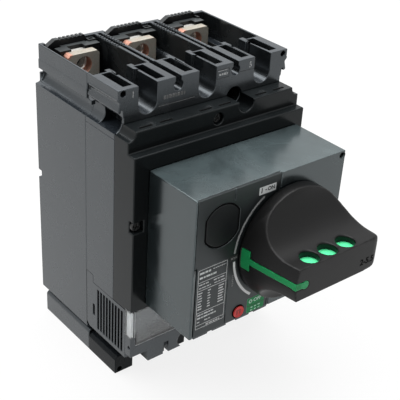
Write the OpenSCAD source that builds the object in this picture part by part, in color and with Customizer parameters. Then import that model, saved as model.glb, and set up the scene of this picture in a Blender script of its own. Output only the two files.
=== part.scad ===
// Three-pole moulded-case motor circuit breaker with a direct rotary handle.
// X runs across the poles, Z up along them, and the front faces -Y.
// The origin is the centre of the back mounting face.
// "Depth" below always means the distance in front of that face.

/* [Case] */
// Distance between two pole centres; the case is three of these wide
pole_pitch = 35; // [33:0.5:44]
// Height over both terminal ends
case_h = 161; // [150:1:210]
// Depth of the rear case, up to the first seam
rear_depth = 46; // [42:1:48]
// Depth up to the seam between front case and front cover
seam_depth = 70; // [66:1:70]
// Depth of the upper step of the front cover
step_depth = 81; // [78:1:84]
// Depth of the front cover itself
cover_depth = 86; // [85:1:106]
// Top of the wide part of the case, measured down from the terminal end
shoulder_drop = 21.3; // [20:0.1:26]
// Foot of the wide part of the case, measured up from the lower end
foot_drop = 16; // [15:0.1:20]
// Radius of the cove under the terminal flanges
cove_r = 4.4; // [3.5:0.1:5]
// Thickness of the small side panels
panel_t = 2; // [1:0.1:3]
// Height of the front band above the cover
band_h = 10; // [8:0.5:14]

/* [Terminals] */
// How far each side of a terminal end stands in from the case side
end_inset = 1; // [0.9:0.1:2]
// Height of the flange that carries the upper terminals
flange_h = 15; // [14.5:0.1:16]
// Height of the flange that carries the lower terminals
lower_flange_h = 10.7; // [9:0.1:12]
// Depth of a terminal chamber below its open end
chamber_h = 20; // [19:0.5:30]
// Thickness of each wall between two chambers
wall_t = 1.7; // [1.2:0.1:2.5]
// Width of the creepage slot between those walls
slot_w = 2; // [1:0.1:3]
// Outer wall of the end chambers inside the neck
outer_wall = 2.3; // [1.5:0.1:3]
// Outer wall of the end chambers inside the flange
flange_wall = 1.1; // [1:0.1:2]
// Depth at which the terminal blocks begin
block_back = 49.5; // [49:0.5:52]
// Depth of the front face of the terminal blocks
block_front = 71.2; // [70.5:0.1:76]
// Width of the channel through a terminal block
channel_w = 10.5; // [9:0.1:13]
// Width of the long pockets in the top of the blocks
pocket_w = 5; // [3:0.1:5.4]
// Depth of those pockets
pocket_h = 12; // [6:0.5:14]
// Width of a terminal bar
bar_w = 18; // [14:0.5:22]
// Thickness of a terminal bar
bar_t = 4.7; // [3:0.1:6]
// Depth of the front face of the bars
bar_depth = 17.7; // [14:0.1:24]
// How far the bar ends below the open end
bar_drop = 3; // [1:0.1:6]
// Radius of the hole in a bar
bar_hole_r = 4.5; // [3:0.1:5]
// Distance of that hole from the end of the bar
bar_hole_edge = 6.4; // [6:0.1:9]
// Width of the square nut behind a bar
nut_w = 11; // [9:0.1:12]
// Thickness of that nut
nut_t = 4.5; // [3:0.1:6]
// How far the line-side back covers rise above the terminal end
cover_rise = 1.2; // [0:0.1:2]

/* [Fixing] */
// Height between the two fixing holes
fixing_pitch = 125; // [118:1:140]
// Radius of a fixing hole
fixing_r = 3; // [2:0.1:3.5]
// Radius of the screwdriver channel in front of it
access_r = 4.8; // [4:0.1:6]
// Length of the fixing hole behind that channel
fixing_seat = 10; // [6:0.5:20]

/* [Trip unit] */
// Height of the trip unit let into the lower front
module_h = 27.9; // [24:0.1:34]
// Height of the clear setting cover
window_h = 21.6; // [18:0.1:24]
// Width of the cheeks that hold the lower part of that cover
cheek_w = 3; // [2:0.1:5]
// Height of those cheeks above the foot of the cover
cheek_h = 5.6; // [3:0.1:8]
// Wall of the clear setting cover
window_t = 1.4; // [1:0.1:2]
// Number of cooling slots in a side panel
vent_n = 9; // [4:1:9]
// Width of one cooling slot
vent_w = 1.6; // [0.8:0.1:1.8]
// Distance between two cooling slots
vent_pitch = 2.66; // [2.2:0.01:2.7]
// Radius of a setting dial
dial_r = 7; // [5:0.1:8]

/* [Handle box] */
// Width of the handle box
box_w = 92.3; // [80:0.1:98]
// Height of the handle box
box_h = 74.7; // [68:0.1:76]
// How far the box stands in front of the cover
box_depth = 35; // [28:0.5:45]
// Sideways place of the box centre
box_x = 2; // [-3:0.1:5]
// Height of the box centre
box_z = 8.35; // [7:0.05:9]
// Thickness of the face plate let into the box
plate_t = 1.5; // [1.1:0.1:3]
// Thickness of the printed plates and labels
label_t = 0.5; // [0.3:0.1:0.8]
// Width of the ring groove round the key lock's blank
lock_ring = 0.9; // [0.4:0.1:1.2]
// Width of the open seam along both sides of the face plate
plate_seam = 0.4; // [0.1:0.1:0.8]

/* [Handle] */
// Radius of the round foot of the handle
hub_r = 30; // [26:0.5:31]
// Height of that foot in front of the box
hub_h = 6.5; // [5:0.1:10]
// How far the handle stands in front of the box
handle_reach = 34; // [30:0.5:42]
// Thickness of the grip
grip_t = 17.4; // [14:0.1:22]
// Offset of the handle axis from the box centre
axis_dx = 10.6; // [8:0.1:12]
// Taper of the pointer end from foot to tip
tip_taper = 4.5; // [0:0.1:6]
// Rounding of the far end of the grip
grip_round = 4; // [2:0.1:6]
// Radius of a padlock hole
lock_r = 4.8; // [2.5:0.1:4.9]
// Distance between padlock holes
lock_pitch = 11.7; // [10.4:0.1:13]
// Distance of the padlock holes from the front of the grip
lock_edge = 6; // [5.5:0.1:8]
// Running gap between handle and box
handle_gap = 0.4; // [0.2:0.1:1]
// Radius of the drive shaft
shaft_r = 7; // [4:0.5:9]
// Radial clearance of the drive shaft
shaft_fit = 0.06; // [0.03:0.01:0.1]
// Clearance round the padlock slide
slide_gap = 0.15; // [0.05:0.05:0.3]

/* [Trip button] */
// Radius of the button
button_r = 3.6; // [2.5:0.1:4.4]
// How far it stands out of the face
button_out = 1.6; // [1:0.1:3]
// Radial clearance of the button
button_fit = 0.1; // [0.05:0.01:0.3]
// Travel of the button
button_travel = 2; // [1:0.1:3]

/* [Hidden] */

$fn = 72;
eps = 1;                                       // overshoot of every cut
foot_step = 1.9;                               // the trip unit begins this far above the case foot
panel_rise = 2.2;                              // the vented panels stand above the trip unit
tab_rise = 6.8;                                // and carry a tab this far above it at the seam
tab_w = 6;
window_gap = 3.1;                              // from the trip unit's top to the clear cover's
panel_margin = 2.8;                            // from the side panels to the shoulder
case_grey = [0.33, 0.36, 0.37];
cover_grey = [0.27, 0.30, 0.31];
black = [0.10, 0.10, 0.11];
tin = [0.72, 0.69, 0.64];
green = [0.10, 0.56, 0.31];

poles = [-pole_pitch, 0, pole_pitch];
gap_x = pole_pitch / 2;                        // middle of the slot between two poles
side_x = 1.5 * pole_pitch;
end_x = side_x - end_inset;
neck_x = side_x - cove_r;
end_z = case_h / 2;
end_back = 2.3;                                // the terminal ends stand clear of the wall
chamber_back = end_back + 2;
chamber_x = gap_x - slot_w / 2 - wall_t;
chamber_z = end_z - chamber_h;
hole_z = end_z - bar_drop - bar_hole_edge;     // terminal holes and the channels in front
shoulder_z = end_z - shoulder_drop;
step_z = shoulder_z + cove_r;                  // top of the cover's upper step
foot_z = foot_drop - end_z;
module_foot = foot_z + foot_step;
module_z = module_foot + module_h;
panel_z = module_z + panel_rise;               // top of the vented side panels
tab_z = module_z + tab_rise;
side_panel_z = shoulder_z - panel_margin;
cover_foot = module_z + window_gap;
cover_top = step_z - band_h;
window_foot = cover_foot - window_h;
cheek_z = window_foot + cheek_h;

// A block between two sideways places, two depths and two heights.
module block(x, depth, z)
    translate([x[0], -depth[1], z[0]])
        cube([x[1] - x[0], depth[1] - depth[0], z[1] - z[0]]);

// A round bar or bore that runs from one depth to another.
module rod(x, z, r, depth)
    translate([x, -depth[0], z]) rotate([90, 0, 0]) cylinder(r = r, h = depth[1] - depth[0]);

// A front outline, drawn in X and Z, given its depths.
module front_outline(depth)
    translate([0, -depth[0], 0]) rotate([90, 0, 0]) linear_extrude(depth[1] - depth[0]) children();

// A side outline, drawn in depth and Z, given its width.
module side_outline(x, points)
    translate([x[0], 0, 0]) rotate([90, 0, 90]) linear_extrude(x[1] - x[0])
        polygon([for (p = points) [-p[0], p[1]]]);

module both_sides() {
    children();
    mirror([1, 0, 0]) children();
}

module both_ends() {
    children();
    mirror([0, 0, 1]) children();
}

// The quarter-round coves along both shoulders.
module coves(depth)
    both_sides() rod(side_x, step_z, cove_r, depth);

// A terminal end across all poles, from its side profile of inset and drop.
module end_outline(depth, profile)
    front_outline(depth)
        polygon([for (s = [-1, 1], k = [0 : len(profile) - 1])
            let (p = profile[s < 0 ? k : len(profile) - 1 - k])
            [s * (end_x - p[0]), end_z - p[1]]]);

// Terminal chambers: wide inside the flange, narrower inside the neck below it.
module chambers(depth, flange)
    for (x = poles) {
        wide = end_x - flange_wall;
        narrow = neck_x - outer_wall;
        block([x < 0 ? -wide : x - chamber_x, x > 0 ? wide : x + chamber_x],
              depth, [end_z - flange + outer_wall, end_z + eps]);
        block([max(x - chamber_x, -narrow), min(x + chamber_x, narrow)],
              depth, [chamber_z, end_z]);
    }

module pole_slots(depth, w, foot)
    both_sides() block([gap_x - w / 2, gap_x + w / 2], depth, [foot, end_z + eps]);

// Fixing holes sit on one diagonal, each with a screwdriver channel in front.
module fixings()
    for (s = [-1, 1]) {
        rod(s * gap_x, s * fixing_pitch / 2, fixing_r, [-eps, fixing_seat + eps]);
        rod(s * gap_x, s * fixing_pitch / 2, access_r, [fixing_seat, cover_depth + eps]);
    }

// Tubes that carry the fixing holes past the slots between the poles.
module fixing_tubes(depth, s, gap = 0)
    rod(s * gap_x, s * fixing_pitch / 2, access_r + wall_t + gap, depth);

// ---- Case ----

lip = end_inset - 0.1;                         // the lip under the flange reaches the case side
line_end = [[0, 0], [0, 7.7], [-lip / 3, 8], [-lip / 3, flange_h - 2], [-lip, flange_h - 1.4],
            [-lip, flange_h - 0.9], [0.6, flange_h], [cove_r, flange_h]];
load_end = [[0, 0], [0, lower_flange_h], [cove_r, lower_flange_h]];

module rear_shell() {
    back_x = side_x - 2.5;                     // the back plate closes the ends of the coves
    back_t = 1.2;
    bead_r = 2.2;
    tongue = [end_x - 2.5, end_x];             // runs past the seam under the block's hook
    tongue_depth = [rear_depth - eps, rear_depth + 3.5];
    tongue_z = [end_z - flange_h, end_z - 12.7];
    difference() {
        union() {
            block([-side_x, side_x], [0, rear_depth], [foot_z, step_z]);
            block([-neck_x, neck_x], [end_back, rear_depth],
                  [-end_z + lower_flange_h - eps, end_z - flange_h + eps]);
            end_outline([end_back, rear_depth], line_end);
            block([-back_x, back_x], [0, back_t], [step_z - eps, end_z - flange_h]);
            block([-neck_x, neck_x], [0, end_back + eps], [step_z - eps, end_z - flange_h]);
            mirror([0, 0, 1]) end_outline([end_back, rear_depth], load_end);
            both_sides() {
                rod(end_x - bead_r, -end_z + lower_flange_h, bead_r, [end_back, rear_depth]);
                block(tongue, tongue_depth, tongue_z);
            }
        }
        difference() {
            coves([-eps, rear_depth + eps]);
            block([-back_x, back_x], [-eps, back_t], [shoulder_z - eps, step_z + eps]);
        }
        chambers([chamber_back, rear_depth + eps], flange_h);
        mirror([0, 0, 1]) chambers([chamber_back, rear_depth + eps], lower_flange_h);
        both_ends() {
            pole_slots([chamber_back, rear_depth + eps], slot_w, chamber_z);
            wall_ribs();
            for (x = poles)
                block([x - hook_w[0] - clear, x + hook_w[1] + clear],
                      [end_back - eps, chamber_back + eps], [end_z - hook_h, end_z + eps]);
        }
    }
}

// Fine grooves across the tops of the walls between the poles, near the back.
module wall_ribs() {
    n = 9;
    pitch = 2.2;
    groove_w = 0.9;
    groove_h = 0.5;
    half = slot_w / 2 + wall_t + eps;
    both_sides()
        for (k = [0 : n - 1])
            translate([0, -chamber_back - (k + 1) * pitch, 0])
                block([gap_x - half, gap_x + half], [0, groove_w],
                      [end_z - groove_h, end_z + eps]);
}

module rear_case() color(case_grey) {
    notch_z = 8.1;
    notch_w = 4;
    notch_h = 4.6;
    notch_d = 3;
    relief_w = 24;
    relief_z = [6, 50];
    relief_d = 1.2;
    difference() {
        union() {
            rear_shell();
            for (s = [-1, 1])
                fixing_tubes([chamber_back - eps, rear_depth], s);
        }
        both_sides()
            block([side_x - notch_w, side_x + eps], [-eps, notch_d],
                  [notch_z - notch_h / 2, notch_z + notch_h / 2]);
        for (x = poles)
            both_ends() block([x - relief_w / 2, x + relief_w / 2], [-eps, relief_d], relief_z);
        fixings();
    }
}

// The row of terminal blocks at an open end.
module terminal_blocks(profile, flange) {
    pocket_x = 8.3;                            // pocket centre from the slot between the poles
    pocket_depth = [block_back + 1, block_front - 3.2];
    key_w = 3.3;
    key_r = 2.6;
    key_z = 4.5;
    groove_w = 1;
    groove_depth = [block_back + 4, block_back + 5.6];
    blind_r = 1.5;
    blind_l = 5;
    blind_x = end_x - 2.9;
    blind_z = end_z - 2.1;
    difference() {
        end_outline([rear_depth, block_front], profile);
        chambers([rear_depth - eps, block_back], flange);
        pole_slots([rear_depth - eps, block_back + eps], slot_w, chamber_z);
        for (x = poles)
            block([x - channel_w / 2 + catch_w, x + channel_w / 2 - catch_w],
                  [block_back - eps, block_front + eps], [hole_z, end_z + eps]);
        for (x = poles) {
            block([x - channel_w / 2, x + channel_w / 2],
                  [block_back + catch_d, block_front + eps], [hole_z, end_z + eps]);
            block([x - channel_w / 2 - groove_w, x + channel_w / 2 + groove_w],
                  groove_depth, [hole_z, end_z + eps]);
        }
        channel_floors();
        pole_slots([block_back, block_front + eps], key_w, end_z - key_z);
        both_sides() {
            rod(gap_x, end_z - key_z, key_r, [block_back, block_front + eps]);
            for (x = [gap_x - pocket_x, gap_x + pocket_x, 3 * gap_x - pocket_x])
                block([x - pocket_w / 2, x + pocket_w / 2], pocket_depth,
                      [end_z - pocket_h, end_z + eps]);
            rod(blind_x, blind_z, blind_r, [block_front - blind_l, block_front + eps]);
        }
    }
}

catch_w = 0.6;                                 // catches that narrow the back of each channel
catch_d = 3;

// The catches run on a little behind the blocks, on both sides of each channel.
module catches() {
    reach = 2.5;
    outer = 2.4;
    foot = 3;
    for (x = poles, s = [-1, 1])
        translate([x, 0, 0]) mirror([s < 0 ? 1 : 0, 0, 0])
            block([channel_w / 2 - catch_w, channel_w / 2 + outer],
                  [block_back - reach, block_back + eps / 2], [hole_z + foot, end_z]);
}

module channel_floors()
    for (x = poles)
        rod(x, hole_z, channel_w / 2, [block_back - eps, block_front + eps]);

// Outer profile of the upper blocks: a thin ledge, a groove and a hooked lower edge.
block_end = [[0, 0], [0, 3.9], [-0.3, 4.3], [-0.3, 4.9], [0.9, 6.3], [0.9, 7.1], [0.1, 10.3],
             [0.3, 11.1], [1.6, 11.3], [1.9, 9.9], [2.6, 9.9], [2.9, 13.6], [cove_r, flange_h]];
lower_block_end = [[0, 0], [0, 8.9], [1.4, lower_flange_h], [cove_r, lower_flange_h]];

module front_case() color(case_grey) {
    hook_pocket = 6.6;
    hook_back = block_back + 6.5;
    hook_wall = 0.8;                           // web between the pocket and the cover
    hook_z = end_z - flange_h + 1.5;
    nick_w = 1.5;
    nick_depth = rear_depth + 2;
    nick_z = [end_z - 8.3, end_z - 4.6];
    difference() {
        union() {
            difference() {
                union() {
                    block([-side_x, side_x], [rear_depth, seam_depth], [module_z, step_z]);
                    block([-neck_x, neck_x], [rear_depth, seam_depth],
                          [shoulder_z, end_z - flange_h + eps]);
                    terminal_blocks(block_end, flange_h);
                    block([-neck_x, neck_x], [seam_depth - eps, block_front],
                          [step_z, end_z - flange_h + eps]);
                }
                coves([rear_depth - eps, seam_depth + eps]);
                chambers([rear_depth - eps, block_back], flange_h);
            }
            fixing_tubes([rear_depth, block_back], 1);
            catches();
        }
        both_sides() {
            block([side_x - panel_t, side_x + eps], [rear_depth - eps, seam_depth + eps],
                  [module_z - eps, side_panel_z]);
            block([neck_x - hook_pocket, side_x + eps], [hook_back, seam_depth - hook_wall],
                  [shoulder_z, hook_z]);
            block([end_x - nick_w, side_x + eps], [rear_depth - eps, nick_depth], nick_z);
        }
        channel_floors();
        fixings();
    }
}

module lower_terminal_block() color(case_grey) {
    lug_pocket = 6.6;
    lug_back = block_back + 4;
    lug_wall = 2.6;                            // floor of that pocket, seen from the side
    peg_r = 1.3;
    peg_x = neck_x - 2.4;
    peg_depth = [block_back + 5.3, block_back + 12.4];
    difference() {
        union() {
            difference() {
                union() {
                    mirror([0, 0, 1]) terminal_blocks(lower_block_end, lower_flange_h);
                    block([-neck_x, neck_x], [rear_depth, block_front],
                          [-end_z + lower_flange_h - eps, module_foot]);
                }
                mirror([0, 0, 1]) {
                    chambers([rear_depth - eps, block_back], lower_flange_h);
                    channel_floors();
                }
            }
            fixing_tubes([rear_depth, block_back], -1);
            mirror([0, 0, 1]) catches();
        }
        both_sides()
            difference() {
                block([neck_x - lug_pocket, side_x + eps], [lug_back, block_front + eps],
                      [-end_z + lower_flange_h, module_foot + eps]);
                rod(peg_x, -end_z + lower_flange_h + lug_wall + peg_r, peg_r, peg_depth);
                block([neck_x - lug_pocket - eps, peg_x], peg_depth,
                      [-end_z + lower_flange_h + lug_wall, -end_z + lower_flange_h + lug_wall + 2 * peg_r]);
            }
        block([-side_x, side_x], [rear_depth - eps, block_front + eps], [module_foot, 0]);
        fixings();
    }
}

module front_cover() color(cover_grey) {
    screw_r = 3;
    screw_l = 3;
    screw_z = cover_top + 4.6;
    notch = [13.6, 19.8];
    notch_w = 6;
    notch_d = 3.3;
    dash_l = 7;                                // short grooves along the step's top
    dash_h = 0.8;
    dash_depth = [step_depth - 3.6, step_depth - 2.6];
    dash_pitch = pole_pitch / 3;
    difference() {
        union() {
            block([-side_x, side_x], [seam_depth, step_depth], [module_z, step_z]);
            block([-side_x, side_x], [step_depth, cover_depth], [cover_foot, cover_top]);
        }
        coves([seam_depth - eps, step_depth + eps]);
        block([-neck_x - eps, neck_x + eps], [seam_depth - eps, block_front],
              [step_z, step_z + eps]);
        fixings();
        rod(0, screw_z, screw_r, [step_depth - screw_l, step_depth + eps]);
        both_sides() {
            block([side_x - notch_w, side_x + eps], [cover_depth - notch_d, cover_depth + eps], notch);
            block([side_x - panel_t, side_x + eps], [seam_depth - eps, step_depth + eps],
                  [module_z - eps, panel_z]);
            for (k = [0.5, 2.5, 3.5])
                block([k * dash_pitch - dash_l / 2, k * dash_pitch + dash_l / 2], dash_depth,
                      [step_z - dash_h, step_z + eps]);
        }
    }
}

module trip_unit() color(case_grey) {
    feet = [-foot_pitch, 0, foot_pitch];
    foot_w = 23;
    foot_reach = 4;
    groove_w = 3.3;
    groove_z = module_foot - 1.1;
    nick_h = 3.3;                              // pocket over each groove, seen from the front
    nick_d = 2;
    mouth_depth = step_depth - 8;
    band_z = module_foot + 3;                  // foot of the front band
    box_z = [module_foot + 1.5, module_z - 1.5];
    box_w = 4;                                 // air box behind the cooling slots
    hole_r = 0.9;                              // blind hole in each cheek
    hole_l = 1.5;
    hole_at = [cover_depth - 1.7, window_foot - 0.8];
    difference() {
        union() {
            block([-side_x + panel_t, side_x - panel_t], [rear_depth, step_depth],
                  [module_foot, module_z]);
            block([-side_x, side_x], [step_depth, cover_depth], [band_z, window_foot]);
            both_sides()
                block([side_x - cheek_w, side_x], [step_depth, cover_depth], [band_z, cheek_z]);
            for (x = feet)
                block([x - foot_w / 2, x + foot_w / 2], [mouth_depth, cover_depth],
                      [module_foot - foot_reach, band_z + eps]);
        }
        for (x = feet) {
            block([x - groove_w / 2, x + groove_w / 2], [mouth_depth - eps, cover_depth + eps],
                  [module_foot - foot_reach - eps, groove_z]);
            block([x - groove_w / 2, x + groove_w / 2], [cover_depth - nick_d, cover_depth + eps],
                  [groove_z - eps, module_foot + nick_h]);
        }
        both_sides() {
            block([side_x - panel_t - box_w, side_x - panel_t + eps],
                  [vent_first - 1, vent_first + vent_n * vent_pitch], box_z);
            translate([side_x - hole_l, -hole_at[0], hole_at[1]]) rotate([0, 90, 0])
                cylinder(r = hole_r, h = hole_l + eps);
        }
        fixings();
        for (s = [-1, 1])
            rod(s * dial_x, dial_z, dial_r + dial_fit, [step_depth - dial_t, step_depth + eps]);
    }
}

foot_pitch = 0.853 * pole_pitch;
vent_first = rear_depth + 9.8;                 // depth of the first cooling slot

module vent_panel(s) color(case_grey) {
    corner = 2.2;
    vent_margin = 2.4;                         // above and below the slots
    key = [rear_depth + 5.7, rear_depth + 7.4];
    key_z = [module_foot + 9.6, module_foot + 16.6];
    x = panel_x(s);
    through = [x[0] - eps, x[1] + eps];
    difference() {
        side_outline(x, [[rear_depth, module_foot + corner], [rear_depth, tab_z],
                         [rear_depth + tab_w, tab_z], [rear_depth + tab_w, panel_z],
                         [step_depth, panel_z], [step_depth, module_foot],
                         [rear_depth + corner, module_foot]]);
        for (k = [0 : vent_n - 1])
            translate([0, -vent_first - k * vent_pitch, 0])
                block(through, [0, vent_w], [module_foot + vent_margin, panel_z - vent_margin]);
        block(through, key, key_z);
    }
}

function panel_x(s) = s < 0 ? [-side_x, -side_x + panel_t] : [side_x - panel_t, side_x];

module side_panel(s) color(cover_grey)
    side_outline(panel_x(s), [[rear_depth, tab_z], [rear_depth + tab_w, tab_z],
                              [rear_depth + tab_w, panel_z], [seam_depth, panel_z],
                              [seam_depth, side_panel_z], [rear_depth, side_panel_z]]);

// The clear cover, drawn as a solid that its walls are measured in from.
module setting_form(wall, depth) {
    block([-side_x + wall, side_x - wall], depth, [cheek_z + wall, cover_foot - wall]);
    block([-side_x + cheek_w + wall, side_x - cheek_w - wall], depth,
          [window_foot + wall, cover_foot - wall]);
}

module setting_cover() color([0.75, 0.78, 0.80, 0.4])
    difference() {
        setting_form(0, [step_depth, cover_depth]);
        setting_form(window_t, [step_depth - eps, cover_depth - window_t]);
    }

dial_x = 24;
dial_z = module_z - 8.3;
dial_t = 3;
dial_fit = 0.2;

module setting_dial(s) color(black) {
    arrow_w = 1.2;
    arrow_h = 0.8;
    proud = 1.2;
    difference() {
        rod(s * dial_x, dial_z, dial_r, [step_depth - dial_t, step_depth + proud]);
        block([s * dial_x - dial_r + eps, s * dial_x + dial_r - eps],
              [step_depth + proud - arrow_h, step_depth + proud + eps],
              [dial_z - arrow_w / 2, dial_z + arrow_w / 2]);
    }
}

// ---- Handle box and its face ----

box_front = cover_depth + box_depth;
box_left = box_x - box_w / 2;
box_right = box_x + box_w / 2;
box_foot = box_z - box_h / 2;
box_top = box_z + box_h / 2;
plate_x = [box_left + 0.6, box_x + 3.8];
plate_edge = 1.3;                              // step of the plate beside the rating plate
plate_z = box_z + 1.8;
axis_x = box_x + axis_dx;
axis_z = box_z;
button_x = box_x - 16.3;
button_z = box_foot + 4.3;
button_l = 9;
shaft_room = 1;                                // the plate's hole clears the shaft widely

// The face plate's place, a little wider above the rating plate than beside it.
module plate_shape(depth, over, seam = 0) {
    left = plate_x[0] + seam;
    right = plate_x[1] - seam;
    front_outline(depth)
        polygon([[left + plate_edge, box_foot - over], [left + plate_edge, plate_z + seam],
                 [left, plate_z + seam], [left, box_top + over],
                 [right, box_top + over], [right, box_foot - over]]);
}

module handle_box() color(cover_grey) {
    pin_r = 1.5;
    pin_l = 8;
    pin_at = [box_right - 2.2, box_top - 2.5];
    clips = [-37, -16, 1];                     // left edges of the clips under the box
    clip_w = 8;
    clip_h = 1.2;
    clip_depth = [cover_depth + 6, box_front - 1.6];
    bore_l = 20;
    difference() {
        union() {
            block([box_left, box_right], [cover_depth, box_front], [box_foot, box_top]);
            for (x = clips)
                block([box_x + x, box_x + x + clip_w], clip_depth,
                      [box_foot - clip_h, box_foot + eps]);
        }
        plate_shape([box_front - plate_t, box_front + eps], eps);
        rod(axis_x, axis_z, shaft_r + shaft_fit, [box_front - bore_l, box_front + eps]);
        rod(button_x, button_z, button_r + button_fit,
            [box_front - button_l - button_travel - eps, box_front + eps]);
        rod(pin_at[0], pin_at[1], pin_r, [box_front - pin_l, box_front + eps]);
    }
}

// The flat-sided round of the key lock's blank.
module lock_shape(grow, depth) {
    lock_w = 10.1;                             // half the distance between its flats
    intersection() {
        rod(lock_at[0], lock_at[1], lock_round + grow, depth);
        block([lock_at[0] - lock_w - grow, lock_at[0] + lock_w + grow], depth, [box_z, box_top]);
    }
}

lock_at = [box_x - 30.6, box_z + 20.4];
lock_round = 11.4;
lock_depth_back = box_front - 1;

module face_plate() color(cover_grey) {
    seam_w = 0.55;
    seam_t = 0.6;
    face = [box_front - seam_t, box_front + eps];
    difference() {
        plate_shape([box_front - plate_t, box_front], 0, plate_seam);
        rod(axis_x, axis_z, shaft_r + shaft_room, [box_front - plate_t - eps, box_front + eps]);
        rod(button_x, button_z, button_r + button_fit, [box_front - plate_t - eps, box_front + eps]);
        lock_shape(0, [lock_depth_back, box_front + eps]);
        for (area = [0 : 3])
            label_area(area, [box_front - label_t, box_front + eps]);
        for (line = [[-24.5, box_top - 5.7, box_top + eps], [-25, box_foot - eps, box_z - 11],
                     [1.9, box_foot - eps, box_foot + 6]])
            block([box_x + line[0], box_x + line[0] + seam_w], face, [line[1], line[2]]);
    }
}

// Printed areas: 0 rating plate, 1 ON label, 2 OFF label, 3 the two travel arcs.
labels = [[[-43.3, -25.4], [box_foot + 4.2, box_z + 1]],
          [[-9.7, 0.7], [box_top - 8, box_top - 4.1]],
          [[-10.6, 0.6], [box_foot + 0.5, box_foot + 9]]];

module label_area(area, depth) {
    if (area < 3)
        block([box_x + labels[area][0][0], box_x + labels[area][0][1]], depth, labels[area][1]);
    else
        for (arc = [[max(121, 180 - label_turn(labels[1][1][0] - axis_z)), 176, 1.1],
                    [184, min(232, 180 + label_turn(axis_z - labels[2][1][1])), 1.9]])
            travel_arc(depth, arc[0], arc[1], arc[2]);
}

arc_r = hub_r + 2.4;
// Angle at which an arc comes this close to a label above or below the axis.
function label_turn(reach, gap = 1) = asin(min(1, (reach - gap) / arc_r));

module travel_arc(depth, from, to, arc_w) {
    translate([axis_x, -depth[0], axis_z]) rotate([90, 0, 0])
        rotate([0, 0, from]) rotate_extrude(angle = to - from)
            translate([arc_r - arc_w / 2, 0]) square([arc_w, depth[1] - depth[0]]);
}

label_depth = [box_front - label_t, box_front];

module key_lock_blank() color(black)
    lock_shape(-lock_ring, [lock_depth_back, box_front]);

module rating_plate() color([0.45, 0.47, 0.47])
    label_area(0, label_depth);

module travel_arcs() color([0.75, 0.76, 0.76])
    label_area(3, label_depth);

module on_label() color([0.82, 0.82, 0.82])
    label_area(1, label_depth);

module off_label() color(green)
    label_area(2, label_depth);

module trip_button() color([0.8, 0.18, 0.15])
    rod(button_x, button_z, button_r, [box_front - button_l, box_front + button_out]);

// ---- Handle ----

hub_back = box_front + handle_gap;
grip_end = box_front + handle_reach;
grip_tip = axis_x - hub_r;                     // pointer end
scoop_rim = 0.7;                               // the foot is left this wide above the scoop
scoop_z = hub_r - scoop_rim;
scoop_r = scoop_z - grip_t / 2;
scoop_depth = box_front + hub_h + scoop_r;

// The round foot, scooped away above and below to leave a bar across it.
module handle_form() {
    tip_x = 2.2;
    far = axis_x + hub_r;
    difference() {
        intersection() {
            rod(axis_x, axis_z, hub_r, [hub_back, grip_end]);
            translate([axis_x + tip_x, -hub_back, axis_z]) rotate([90, 0, 0])
                cylinder(r1 = hub_r + tip_x, r2 = hub_r + tip_x - tip_taper,
                         h = grip_end - hub_back);
        }
        for (s = [-1, 1]) {
            translate([grip_tip - eps, -scoop_depth, axis_z + s * scoop_z])
                rotate([0, 90, 0]) cylinder(r = scoop_r, h = 2 * hub_r + 2 * eps);
            block([grip_tip - eps, far + eps], [scoop_depth, grip_end + eps],
                  s > 0 ? [axis_z + grip_t / 2, axis_z + hub_r + eps]
                        : [axis_z - hub_r - eps, axis_z - grip_t / 2]);
        }
        difference() {
            block([far - grip_round, far + eps], [grip_end - grip_round, grip_end + eps],
                  [axis_z - grip_t, axis_z + grip_t]);
            translate([far - grip_round, -grip_end + grip_round, axis_z - grip_t - eps])
                cylinder(r = grip_round, h = 2 * grip_t + 2 * eps);
        }
    }
}

lock_depth = grip_end - lock_edge;
lock_shift = 1;                                // the holes sit a little towards the pointer
lock_x = [for (k = [-1 : 1]) axis_x - lock_shift + k * lock_pitch];

// Slide seen from outside: cross bar at the foot, arm along the pointer end, tongue on the
// front; inside, the bar behind the padlock holes.
module slide_body(grow) {
    arm_w = 3;
    arm_t = 7.5;
    cross_w = 10.4;
    cross_t = 4.5;
    cross = [box_front + 1.6 - grow, box_front + 6.5 + grow];
    tongue_t = 2;
    tongue_z = axis_z - 0.4;
    tongue = [grip_tip + 4, grip_tip + 10.4];
    knob_r = 2.1;
    knob_z = axis_z - 0.6;
    bar_half = 5.2;
    bar_over = 0.5;                            // past the last padlock hole
    bar_front = 3.8;
    block([grip_tip - eps, grip_tip + arm_t], [cross[0], grip_end + eps],
          [axis_z - arm_w / 2 - grow, axis_z + arm_w / 2 + grow]);
    block([grip_tip - eps, grip_tip + cross_t + grow], cross,
          [axis_z - cross_w / 2 - grow, axis_z + cross_w / 2 + grow]);
    block(tongue, [grip_end - tongue_t - grow, grip_end + eps],
          [tongue_z - arm_w / 2 - grow, tongue_z + arm_w / 2 + grow]);
    rod(tongue[1], knob_z, knob_r + grow, [grip_end - tongue_t - grow, grip_end + eps]);
    block([grip_tip + arm_t - eps, lock_x[2] + lock_r + bar_over + grow],
          [lock_depth - lock_r - grow, lock_depth + bar_front + grow],
          [axis_z - bar_half - grow, axis_z + bar_half + grow]);
}

module handle() color(black) {
    shaft_l = 18;
    difference() {
        union() {
            handle_form();
            rod(axis_x, axis_z, shaft_r, [box_front - shaft_l, hub_back + eps]);
        }
        slide_body(slide_gap);
        for (x = lock_x)
            translate([x, -lock_depth, axis_z - grip_t]) cylinder(r = lock_r, h = 2 * grip_t);
    }
}

module padlock_slide() color(green)
    intersection() {
        handle_form();
        slide_body(0);
    }

// ---- Terminals ----

nut_back = bar_depth - bar_t - nut_t;
hook_w = [13.4, 9.1];                          // reach of a back cover's hook either side
hook_h = 4.5;
clear = 0.2;
tube_gap = 0.3;                                // round the tubes of the fixing holes

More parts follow.
